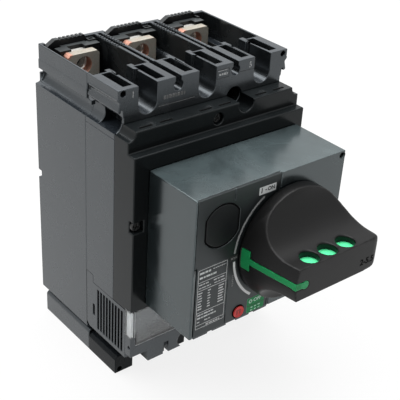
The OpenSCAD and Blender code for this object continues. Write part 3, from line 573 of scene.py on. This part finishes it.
def mergedCopy(nodeName):
    # a CAD node is loose triangles, so its copy is merged; the edit mode is left on
    pick(nodes[nodeName])
    bpy.ops.object.duplicate()
    bpy.ops.object.mode_set(mode="EDIT")
    bpy.ops.mesh.select_all(action="SELECT")
    bpy.ops.mesh.remove_doubles(threshold=rounding["merge"] * mm)
    return bpy.context.active_object


def applyModifiers(piece):
    pick(piece)
    for name in [modifier.name for modifier in piece.modifiers]:
        bpy.ops.object.modifier_apply(modifier=name)


def roundNode(nodeName, pieceName, body, slotName, surface, width, skip=lambda spot: False):
    piece = mergedCopy(nodeName)
    bpy.ops.mesh.dissolve_limited(angle_limit=math.radians(rounding["flat"]))
    bpy.ops.object.mode_set(mode="OBJECT")
    finishPiece(piece, pieceName, body, surface)
    weighEdges(piece, width, skip)
    bevel = piece.modifiers.new("softEdge", "BEVEL")
    bevel.width = width * mm
    bevel.segments = 2
    bevel.limit_method = "WEIGHT"
    bevel.use_clamp_overlap = False
    bevel.loop_slide = False
    flatten = piece.modifiers.new("flatFaces", "WEIGHTED_NORMAL")
    flatten.weight = 100
    flatten.keep_sharp = True
    applyModifiers(piece)
    clearSelection()
    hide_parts(nodeName)


for nodeName, spec in roundedNodes.items():
    roundNode(nodeName, *spec)
print("edges softened on", len(roundedNodes), "pieces")


# the knob is one moulding with generous soft corners, so its copy is remeshed and relaxed
grip = {"voxel": 0.5, "relax": 4, "strength": 0.5, "endAt": (34, 36, 38, 39.5), "endRelax": 9,
        "frontSkin": 0.12, "frontBack": 0.06}


def buildGrip():
    piece = mergedCopy("handle")
    bpy.ops.object.mode_set(mode="OBJECT")
    remesh = piece.modifiers.new("evenSkin", "REMESH")
    remesh.mode = "VOXEL"
    remesh.voxel_size = grip["voxel"] * mm
    relax = piece.modifiers.new("softCorners", "SMOOTH")
    relax.factor = grip["strength"]
    relax.iterations = grip["relax"]
    applyModifiers(piece)
    for start in grip["endAt"]:
        selectFaces(piece, lambda spot, normal: spot.x > start * mm)
        bpy.ops.mesh.vertices_smooth(factor=grip["strength"], repeat=grip["endRelax"])
    # the front goes in by a hair, so that the printed mark on it stays inside the part's size
    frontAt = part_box("handle")[0][1] + grip["frontSkin"] * mm
    selectFaces(piece, lambda spot, normal: spot.y < frontAt)
    bpy.ops.transform.translate(value=(0, grip["frontBack"] * mm, 0))
    bpy.ops.object.mode_set(mode="OBJECT")
    finishPiece(piece, "handleGrip", "handle", handlePlastic, angle=80)
    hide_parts("handle")
    return piece


handleGrip = buildGrip()
print("knob surface:", len(handleGrip.data.polygons), "faces")

plainNodes = {
    "rating_plate": facePlastic, "travel_arcs": arcPaint, "on_label": lightPrint,
    "off_label": greenPlastic, "padlock_slide": slidePlastic,
    "setting_dial_left": blackPlastic, "setting_dial_right": blackPlastic,
    "setting_cover": clearPlastic,
}
for nodeName in nodes:
    if "_bar_" in nodeName:
        plainNodes[nodeName] = tinnedCopper
    if "_nut_" in nodeName:
        plainNodes[nodeName] = zincSteel
    if "_back_cover_" in nodeName:
        plainNodes[nodeName] = blackPlastic
for nodeName, surface in plainNodes.items():
    nodes[nodeName].data.materials.clear()
    nodes[nodeName].data.materials.append(surface)
print("materials set on", len(plainNodes), "nodes")


# small built pieces: tiles, dashes and letters that stand a hair proud of the face behind them

def joinPieces(pieces):
    clearSelection()
    for piece in pieces:
        piece.select_set(True)
    bpy.context.view_layer.objects.active = pieces[0]
    if len(pieces) > 1:
        bpy.ops.object.join()
    return bpy.context.active_object


def addPlanes(plates, turn=(0, 0, 0)):
    # each plate is a middle and a size in mm, and turn is in degrees
    pieces = []
    for spot, size in plates:
        bpy.ops.mesh.primitive_plane_add(size=mm, location=[level * mm for level in spot],
                                         rotation=[math.radians(angle) for angle in turn])
        tile = bpy.context.active_object
        tile.scale = (*size, 1)
        pieces.append(tile)
    piece = joinPieces(pieces)
    applyPlace(piece)
    return piece


def faceOutwards():
    bpy.ops.mesh.select_all(action="SELECT")
    bpy.ops.mesh.normals_make_consistent(inside=False)


def thicken(push):
    # gives the flat active piece its thickness, in mm
    bpy.ops.object.mode_set(mode="EDIT")
    bpy.ops.mesh.select_all(action="SELECT")
    bpy.ops.mesh.extrude_region_move(TRANSFORM_OT_translate={"value": [level * mm for level in push]})
    faceOutwards()
    bpy.ops.object.mode_set(mode="OBJECT")


def addTiles(tiles, depth, proud=0.05, sink=0.03):
    # tiles are (x, z, width, height) in mm, seen from the front
    piece = addPlanes([((x, sink - depth, z), (width, height)) for x, z, width, height in tiles],
                      (90, 0, 0))
    thicken((0, -(proud + sink), 0))
    return piece


def addSideTiles(tiles, x, sink):
    # tiles are (depth, z, run, height) in mm, let into both side walls at x from the middle
    piece = addPlanes([((sink - x, -depth, z), (height, run)) for depth, z, run, height in tiles],
                      (0, 90, 0))
    thicken((-sink, 0, 0))
    piece.modifiers.new("opposite", "MIRROR")
    applyModifiers(piece)
    bpy.ops.object.mode_set(mode="EDIT")
    faceOutwards()
    bpy.ops.object.mode_set(mode="OBJECT")
    return piece


def dashes(left, right, z, height, words=(1.9, 1.1, 2.4, 0.8), gap=0.45):
    tiles = []
    spot = left
    while spot < right - gap:
        width = min(words[len(tiles) % len(words)], right - spot)
        tiles.append((spot + width / 2, z, width, height))
        spot += width + gap
    return tiles


def frameTiles(left, right, low, high, line):
    middle = ((left + right) / 2, (low + high) / 2)
    across = right - left
    along = high - low - line
    return [(middle[0], low, across, line), (middle[0], high, across, line),
            (left, middle[1], line, along), (right, middle[1], line, along)]


def addLetters(words, x, z, size, depth, bold=0.0, proud=0.05):
    bpy.ops.object.text_add(location=(x * mm, -depth * mm, z * mm), rotation=(math.radians(90), 0, 0))
    letters = bpy.context.active_object
    letters.data.body = words
    letters.data.size = size * mm
    letters.data.offset = bold * mm
    letters.data.extrude = proud * mm
    letters.data.resolution_u = 3
    letters.data.align_x = "CENTER"
    letters.data.align_y = "CENTER"
    pick(letters)
    bpy.ops.object.convert(target="MESH")
    letters = bpy.context.active_object
    applyPlace(letters)
    bpy.ops.object.mode_set(mode="EDIT")
    bpy.ops.mesh.select_all(action="SELECT")
    bpy.ops.mesh.remove_doubles(threshold=0.001 * mm)
    faceOutwards()
    bpy.ops.object.mode_set(mode="OBJECT")
    return letters


# rating plate: outline, rules and rows of dashes in place of words

plate = {"edge": 0.5, "line": 0.26, "rules": (2.0, -2.6, -15.2, -22.4), "margin": 0.7,
         "columns": ((-40.3, -37.9), (-34.6, -32.9), (-28.2, -25.0)), "tableTop": -4.1,
         "tablePitch": 1.5, "tableRows": 7, "rowHeight": 0.6, "shorter": 0.5, "titleProud": 0.06,
         # left end, or None at the margin, right end, z, height, and then dash lengths and gap
         "rows": ((-32.2, -24.6, 7.2, 0.4, (1.0, 0.6, 1.4, 0.5), 0.35), (-31.5, -24.6, 0.6, 0.6),
                  (None, -34.5, 0.6, 0.6), (None, -33.2, -1.2, 0.6, (1.4, 2.2)),
                  (-31.0, -24.6, -1.2, 0.5), (None, -38.6, -20.6, 0.6, (1.6,)),
                  (-35.6, -31.8, -20.6, 0.6), (-34.6, -26.2, -23.5, 0.7, (1.4, 2.0, 1.1))),
         "titles": ((None, -33.6, 6.9, 1.0, (2.7, 1.6)), (None, -29.6, 4.4, 1.0),
                    (None, -30.6, -16.6, 0.75), (None, -28.8, -18.4, 0.75))}
low, high = corners("rating_plate")
inner = (low[0] + plate["edge"], high[0] - plate["edge"])


def plateRows(rows):
    tiles = []
    for left, *rest in rows:
        tiles += dashes(inner[0] + plate["margin"] if left is None else left, *rest)
    return tiles


tiles = frameTiles(*inner, low[2] + plate["edge"], high[2] - plate["edge"], plate["line"])
tiles += [((inner[0] + inner[1]) / 2, z, inner[1] - inner[0], plate["line"]) for z in plate["rules"]]
tiles += plateRows(plate["rows"])
for k in range(plate["tableRows"]):
    z = plate["tableTop"] - k * plate["tablePitch"]
    shorter = plate["shorter"] if k % 3 == 1 else 0
    for start, end in plate["columns"]:
        tiles += dashes(start, end - shorter, z, plate["rowHeight"], (end - start,))
finishPiece(addTiles(tiles, front("rating_plate")), "ratingPrint", "case", greyPrint)
finishPiece(addTiles(plateRows(plate["titles"]), front("rating_plate"), plate["titleProud"]),
            "ratingTitles", "case", lightPrint)

# position labels

onSpot = {"bar": 3.7, "letters": 2.8, "dash": (0.9, 0.45), "spots": (1.5, 4.1, 7.4)}
low, high = corners("on_label")
onZ = frontMiddle(low, high)[1]
barX, dashX, lettersX = (low[0] + spot for spot in onSpot["spots"])
finishPiece(joinPieces([
    addLetters("I", barX, onZ, onSpot["bar"], front("on_label"), 0.08),
    addLetters("ON", lettersX, onZ, onSpot["letters"], front("on_label"), 0.07),
    addTiles([(dashX, onZ, *onSpot["dash"])], front("on_label"))]),
    "onPrint", "case", printAndShadeBlack)

offSpot = {"letters": 2.9, "lettersFrom": (-0.5, 2.5), "split": 0.3, "splitDrop": 0.4, "grid": (3, 2),
           "gridFrom": (3.2, -1.3), "gridPitch": (2.4, -1.7), "gridDash": (1.3, 0.6)}
low, high = corners("off_label")
offX, offZ = frontMiddle(low, high)
splitZ = offZ - offSpot["splitDrop"]
grid = [(low[0] + offSpot["gridFrom"][0] + offSpot["gridPitch"][0] * k,
         splitZ + offSpot["gridFrom"][1] + offSpot["gridPitch"][1] * row, *offSpot["gridDash"])
        for k in range(offSpot["grid"][0]) for row in range(offSpot["grid"][1])]
finishPiece(joinPieces([
    addLetters("O OFF", offX + offSpot["lettersFrom"][0], splitZ + offSpot["lettersFrom"][1],
               offSpot["letters"], front("off_label"), 0.07),
    addTiles(grid, front("off_label"))]), "offPrint", "case", mintPrint)
finishPiece(addTiles([(offX, splitZ, high[0] - low[0], offSpot["split"])], front("off_label"), 0.02),
            "offSplit", "case", darkPrint)

# small prints on the face and on the knob

marks = {"label": (-19.9, 8.3, 4.6, 2.8), "labelRow": (-21.7, -18.2, 8.3, 0.9, (1.0, 0.7)),
         "side": (-19.7, -1.7), "sidePitch": -1.15, "sideCount": 6, "widths": (1.2, 0.9), "height": 0.65}
face = front("face_plate")
finishPiece(addTiles([marks["label"]], face), "arcLabel", "case", darkPrint)
finishPiece(addTiles(dashes(*marks["labelRow"]), face, 0.08), "arcLabelPrint", "case",
            dullPrint)
finishPiece(addTiles([(marks["side"][0], marks["side"][1] + marks["sidePitch"] * k,
                       marks["widths"][k % 2], marks["height"]) for k in range(marks["sideCount"])],
                     face), "sideMarks", "case", dullPrint)
knob = {"mark": "2-5.5", "x": 34.1, "z": 5.5, "size": 4.6}
finishPiece(addLetters(knob["mark"], knob["x"], knob["z"], knob["size"], front("handle"), 0.12, 0.0),
            "gripMark", "handle", printAndShadeBlack)
print("prints on the front done")

# trip button: a dished red cap, in a black ring painted for the shade in the gap round it

button = {"radius": 3.15, "gapShade": 3.58, "out": 0.75, "gapShadeOut": 0.2, "rim": 0.5, "dish": 0.25,
          "gapShadeDish": 0.1, "markSink": 0.325, "slope": 0.6, "dip": 0.3,
          # strokes of the mark: x, z, width and height in mm from the cap's middle
          "strokes": ((0, 0.9, 2.8, 0.5), (-0.9, -0.5, 0.5, 2.0), (0.9, -0.5, 0.5, 2.0))}
low, high = corners("trip_button")
buttonBack = -high[1]
buttonSpot = frontMiddle(low, high)


def buildCap(radius, out, rim, dish):
    bpy.ops.mesh.primitive_cylinder_add(
        vertices=48, radius=radius * mm, depth=(face + out - buttonBack) * mm,
        rotation=(math.radians(90), 0, 0),
        location=(buttonSpot[0] * mm, -(face + out + buttonBack) / 2 * mm, buttonSpot[1] * mm))
    cap = bpy.context.active_object
    applyPlace(cap)
    selectFaces(cap, lambda spot, normal: normal.y < forward)
    bpy.ops.mesh.inset(thickness=rim * mm)
    bpy.ops.transform.translate(value=(0, dish * mm, 0))
    bpy.ops.mesh.inset(thickness=button["slope"] * rim * mm)
    bpy.ops.mesh.inset(thickness=rim * mm)
    bpy.ops.transform.translate(value=(0, button["dip"] * dish * mm, 0))
    bpy.ops.object.mode_set(mode="OBJECT")
    return cap


buttonCap = finishPiece(buildCap(button["radius"], button["out"], button["rim"], button["dish"]),
                        "tripButtonCap", "trip_button", redPlastic)
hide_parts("trip_button")
# painted shade: the black ring round the cap stands for the dark gap round it
finishPiece(buildCap(button["gapShade"], button["gapShadeOut"], button["rim"], button["gapShadeDish"]),
            "tripButtonGapShade", "trip_button", printAndShadeBlack)
finishPiece(addTiles([(buttonSpot[0] + x, buttonSpot[1] + z, width, height)
                      for x, z, width, height in button["strokes"]],
                     face + button["out"] - button["markSink"]),
            "tripButtonMark", "trip_button", darkRed)

# painted shade: a dark ring in the groove round the key lock's blank, for the shade in the groove

ring = {"width": 0.9, "flat": 10.1, "radius": 11.4, "sink": 0.25, "floor": 0.95}
ringSpot = frontMiddle(*corners("key_lock_blank"))
bpy.ops.mesh.primitive_circle_add(
    vertices=96, radius=ring["radius"] * mm, fill_type="NGON", rotation=(math.radians(90), 0, 0),
    location=(ringSpot[0] * mm, -(face - ring["floor"]) * mm, ringSpot[1] * mm))
lockGrooveShadow = bpy.context.active_object
applyPlace(lockGrooveShadow)
bpy.ops.object.mode_set(mode="EDIT")
for sign in (-1, 1):
    bpy.ops.mesh.select_all(action="SELECT")
    bpy.ops.mesh.bisect(plane_co=((ringSpot[0] + sign * ring["flat"]) * mm, 0, 0), plane_no=(sign, 0, 0),
                        clear_outer=True)
bpy.ops.mesh.select_all(action="SELECT")
bpy.ops.mesh.inset(thickness=ring["width"] * mm)
bpy.ops.mesh.delete(type="FACE")
thicken((0, ring["sink"] - ring["floor"], 0))
finishPiece(lockGrooveShadow, "lockGrooveShade", "case", printAndShadeBlack)
print("button and lock ring done")

# prints on the upper terminal lugs, a plain number on two of the poles' lugs

lugFront = front("lower_terminal_block")
lug = {"plateX": (5.7, 13.2), "plateZ": (73.8, 78.3), "line": 0.25, "numbers": (("1", -43.4), ("5", 26.9)),
       "numberZ": 77.0, "numberSize": 4.2,
       "plateRows": ((7.0, 12.2, 75.7, 1.0, (1.2, 0.9)), (6.3, 12.2, 77.6, 0.3, (0.7,), 0.3)),
       "rules": ((29.6, 77.2, 0.25, 4.6), (24.5, 74.6, 10.0, 0.25)),
       "row": (-26.0, -13.2, 71.6, 1.9, (1.2, 0.8, 1.5), 0.5), "rowRule": (-18.3, 67.8, 21.3, 0.25)}
finishPiece(joinPieces(
    [addLetters(number, x, lug["numberZ"], lug["numberSize"], lugFront, 0.0, 0.03)
     for number, x in lug["numbers"]] + [addTiles(dashes(*row), lugFront) for row in lug["plateRows"]]),
    "lugPrint", "case", greyPrint)
finishPiece(joinPieces([
    addTiles(frameTiles(*lug["plateX"], *lug["plateZ"], lug["line"]), lugFront, 0.03),
    addTiles(lug["rules"], lugFront, 0.03)]), "lugOutline", "case", darkPrint)
finishPiece(joinPieces([addTiles(dashes(*lug["row"]), lugFront, 0.04),
                        addTiles([lug["rowRule"]], lugFront, 0.04)]),
            "lugNumber", "case", dullPrint)
print("lug prints done")

# painted shade: dark tiles in the short grooves along the step's top, for the shade inside them

groove = {"length": 7.1, "depths": (77.35, 78.45), "top": 63.6, "height": 0.75, "proud": 0.04,
          "spots": (-3.5, -2.5, -0.5, 0.5, 2.5, 3.5)}
stepGrooveShade = addPlanes([((k * bars["pitch"] / 3, -sum(groove["depths"]) / 2, groove["top"] - groove["height"]),
                        (groove["length"], groove["depths"][1] - groove["depths"][0]))
                       for k in groove["spots"]])
thicken((0, 0, groove["height"] + groove["proud"]))
finishPiece(stepGrooveShade, "stepGrooveShade", "case", printAndShadeBlack)

# cross-head screws in the cover's step and in its side notches

screw = {"radius": 2.6, "height": 1.6, "rim": 0.35, "slotWidth": 0.85, "slotLength": 3.6,
         "slotDepth": 0.9, "slotTurns": (20, 110),
         "spots": ((0, 78.6, 58.2), (-49.6, 83.6, 16.7), (49.6, 83.6, 16.7))}   # x, depth and z


def buildScrew():
    bpy.ops.mesh.primitive_cylinder_add(vertices=40, radius=screw["radius"] * mm,
                                        depth=screw["height"] * mm, rotation=(math.radians(90), 0, 0))
    head = bpy.context.active_object
    applyPlace(head)
    selectFaces(head, lambda spot, normal: normal.y < forward)
    bpy.ops.mesh.bevel(offset=screw["rim"] * mm, segments=3, affect="EDGES")
    bpy.ops.object.mode_set(mode="OBJECT")
    for turn in screw["slotTurns"]:
        bpy.ops.mesh.primitive_cube_add(size=mm, location=(0, -screw["height"] / 2 * mm, 0),
                                        rotation=(0, math.radians(turn), 0))
        cutter = bpy.context.active_object
        cutter.scale = (screw["slotLength"], 2 * screw["slotDepth"], screw["slotWidth"])
        applyPlace(cutter)
        cut = head.modifiers.new("slot", "BOOLEAN")
        cut.operation = "DIFFERENCE"
        cut.solver = "EXACT"
        cut.object = cutter
        applyModifiers(head)
        bpy.data.objects.remove(cutter)
    return head


def copyTo(piece, spot):
    pick(piece)
    bpy.ops.object.duplicate()
    twin = bpy.context.active_object
    twin.location = spot
    applyPlace(twin)
    return twin


screwHead = buildScrew()
for k, (x, depth, z) in enumerate(screw["spots"]):
    finishPiece(copyTo(screwHead, (x * mm, -depth * mm, z * mm)), f"screw{k + 1}", "case",
                screwBlack)
bpy.data.objects.remove(screwHead)

# threads in the captive nuts

thread = {"radius": 3.38, "cuts": 8, "ridge": 0.9, "wall": 0.12, "near": 0.01}


def buildThread(run):
    levels = [(k / (thread["cuts"] + 1) - 0.5) * run * mm for k in range(1, thread["cuts"] + 1)]
    bpy.ops.mesh.primitive_cylinder_add(vertices=40, radius=thread["radius"] * mm, depth=run * mm,
                                        end_fill_type="NOTHING", rotation=(math.radians(90), 0, 0))
    sleeve = bpy.context.active_object
    applyPlace(sleeve)
    bpy.ops.object.mode_set(mode="EDIT")
    for level in levels:
        bpy.ops.mesh.select_all(action="SELECT")
        bpy.ops.mesh.bisect(plane_co=(0, level, 0), plane_no=(0, 1, 0))
    bpy.ops.object.mode_set(mode="OBJECT")
    for level in levels[::2]:   # every other cut becomes a ridge
        clearMesh(sleeve)
        for vertex in sleeve.data.vertices:
            vertex.select = abs(vertex.co.y - level) < thread["near"] * mm
        bpy.ops.object.mode_set(mode="EDIT")
        bpy.ops.transform.resize(value=(thread["ridge"], 1, thread["ridge"]), center_override=(0, 0, 0))
        bpy.ops.object.mode_set(mode="OBJECT")
    thick = sleeve.modifiers.new("wall", "SOLIDIFY")
    thick.thickness = thread["wall"] * mm
    applyModifiers(sleeve)
    return sleeve


low, high = corners("line_nut_2")
sleeve = buildThread(high[1] - low[1])
for side, sign in (("line", 1), ("load", -1)):
    for k in (-1, 0, 1):
        spot = (k * bars["pitch"] * mm, (low[1] + high[1]) / 2 * mm, sign * bars["holeZ"] * mm)
        finishPiece(copyTo(sleeve, spot), f"{side}Thread{k + 2}", "case", zincSteel,
                    angle=20)
bpy.data.objects.remove(sleeve)
print("screws and threads done")

# frame and side pad of the clear setting cover, both painted light: pale frame lines for its lit edges, and
# white strips inside its side for the light glowing in its side wall

rim = {"line": 0.35, "in": 2.4, "short": 1.0, "footUp": 0.3, "footShort": 8.4, "sink": 0.05, "proud": 0.03}
low, high = corners("setting_cover")
sideWall = -low[0]
coverZ = (low[2] + high[2]) / 2
upright = high[2] - low[2] - rim["short"]
finishPiece(addTiles([
    (low[0] + rim["in"], coverZ, rim["line"], upright),
    (-rim["in"] / 2, low[2] + rim["footUp"], high[0] - low[0] - rim["footShort"], rim["line"]),
    (high[0] - rim["in"], coverZ, rim["line"], upright)],
    -low[1] - rim["sink"], rim["proud"]), "clearCoverEdgeGlow", "case", paintedEdgeGlow)

# painted light: white strips inside the clear cover's side wall, for the light glowing in it
sideGlowStrips = {"in": 1.3, "thick": 0.3, "depths": (81.6, 85.2), "ribs": 4, "ribShares": (0.6, 0.9),
         "up": 1.2, "short": 5.0}
ribRun = (sideGlowStrips["depths"][1] - sideGlowStrips["depths"][0]) / sideGlowStrips["ribs"]
ribs = [(sideGlowStrips["depths"][0] + (k + 0.5) * ribRun, coverZ + sideGlowStrips["up"],
         ribRun * sideGlowStrips["ribShares"][k % 2], high[2] - low[2] - sideGlowStrips["short"])
        for k in range(sideGlowStrips["ribs"])]
finishPiece(addSideTiles(ribs, sideWall - sideGlowStrips["in"], sideGlowStrips["thick"]),
            "clearCoverSideGlow", "case", paintedSideGlow)

# dark joints between the vented panels and the case

joint = {"width": 0.5, "below": 0.04, "sink": 0.4, "seam": 46.0, "tab": 52.0, "end": 81.0, "panelUp": 2.2}
low, high = corners("vent_panel_left")
panelTop = corners("trip_unit")[1][2] + joint["panelUp"]
finishPiece(addSideTiles([
    (joint["seam"], (low[2] + high[2]) / 2, joint["width"], high[2] - low[2]),
    ((joint["seam"] + joint["tab"]) / 2, high[2], joint["tab"] - joint["seam"] + joint["width"],
     joint["width"]),
    (joint["tab"], (panelTop + high[2]) / 2, joint["width"], high[2] - panelTop - joint["width"]),
    ((joint["tab"] + joint["end"]) / 2, panelTop, joint["end"] - joint["tab"], joint["width"])],
    sideWall - joint["below"], joint["sink"]), "panelJoint", "case", printAndShadeBlack)
print("clear cover and panel joints done")


# floor, light and camera

studio = {"floorSize": 6.0, "floorColour": (0.8, 0.8, 0.8, 1), "floorGlow": 0.85, "worldStrength": 0.25,
          "top": {"at": (-0.1, 0.05, 0.9), "size": 1.2, "power": 15.0, "mirrored": True},
          "left": {"at": (-0.7, 0.5, 0.6), "size": 1.0, "power": 5.0, "mirrored": False},
          "right": {"at": (0.57, 0.05, 0.82), "size": 0.9, "power": 5.2, "mirrored": False}}


def backgroundSeen(tree):
    # 1 for rays that show the white surroundings: straight on, in a mirror or through glass
    rays = place(tree, "ShaderNodeLightPath").outputs
    mirrored = calculate(tree, "MAXIMUM", rays["Is Glossy Ray"], rays["Is Transmission Ray"])
    return calculate(tree, "MAXIMUM", rays["Is Camera Ray"], mirrored)


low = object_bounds()[0]
bpy.ops.mesh.primitive_plane_add(size=studio["floorSize"], location=(0, 0, low[2]))
floor = bpy.context.active_object
floor.name = "floor"
floorSurface, floorTree, floorShader = newMaterial("floorPaper")
floorShader.inputs["Base Color"].default_value = studio["floorColour"]
floorShader.inputs["Roughness"].default_value = 0.8
floorShader.inputs["Specular IOR Level"].default_value = 0.1
paperGlow = place(floorTree, "ShaderNodeEmission", Color=(1, 1, 1, 1))
floorMix = place(floorTree, "ShaderNodeMixShader")
feed(floorTree, calculate(floorTree, "MULTIPLY", backgroundSeen(floorTree), studio["floorGlow"]),
     floorMix.inputs["Fac"])
feed(floorTree, floorShader.outputs["BSDF"], floorMix.inputs[1])
feed(floorTree, paperGlow.outputs["Emission"], floorMix.inputs[2])
feed(floorTree, floorMix.outputs["Shader"], floorTree.nodes["Material Output"].inputs["Surface"])
floor.data.materials.append(floorSurface)

world = bpy.data.worlds.new("studioWorld")
bpy.context.scene.world = world
world.use_nodes = True
worldTree = world.node_tree
backdrop = worldTree.nodes["Background"]
backdrop.inputs["Color"].default_value = (1, 1, 1, 1)
feed(worldTree, ramp(worldTree, backgroundSeen(worldTree), 0.0, 1.0, studio["worldStrength"]),
     backdrop.inputs["Strength"])


def softLamp(name, aim, at, size, power, mirrored):
    bpy.ops.object.light_add(type="AREA", location=at)
    lamp = bpy.context.active_object
    lamp.name = name
    lamp.data.shape = "SQUARE"
    lamp.data.size = size
    lamp.data.energy = power
    lamp.visible_glossy = mirrored
    lamp.rotation_euler = (Vector(aim) - Vector(at)).to_track_quat("-Z", "Y").to_euler()


middle = Vector((0, -0.06, 0))
for side in ("top", "left", "right"):
    softLamp(side + "Lamp", middle, **studio[side])

view = {"azimuth": -40.6, "elevation": 29.89, "roll": 3.61, "distance": 0.48133,
        "centre": (0, -0.06, 0), "across": 0.00735, "up": 0.00301, "lens": 82.8}


def addCamera():
    az, el, roll = (math.radians(view[key]) for key in ("azimuth", "elevation", "roll"))
    back = Vector((math.sin(az) * math.cos(el), -math.cos(az) * math.cos(el), math.sin(el)))
    right = (-back).cross(Vector((0, 0, 1))).normalized()
    up = right.cross(-back)
    right, up = (right * math.cos(roll) + up * math.sin(roll),
                 up * math.cos(roll) - right * math.sin(roll))
    target = Vector(view["centre"]) + right * view["across"] + up * view["up"]
    spot = target + back * view["distance"]
    bpy.ops.object.camera_add(location=spot)
    camera = bpy.context.active_object
    camera.name = "viewCamera"
    camera.rotation_euler = Matrix((right, up, back)).transposed().to_euler()
    camera.data.sensor_width = 36
    camera.data.lens = view["lens"]
    camera.data.clip_start = 0.01
    bpy.context.scene.camera = camera


addCamera()
bpy.context.scene.view_settings.view_transform = "Standard"
print("stage and camera ready")
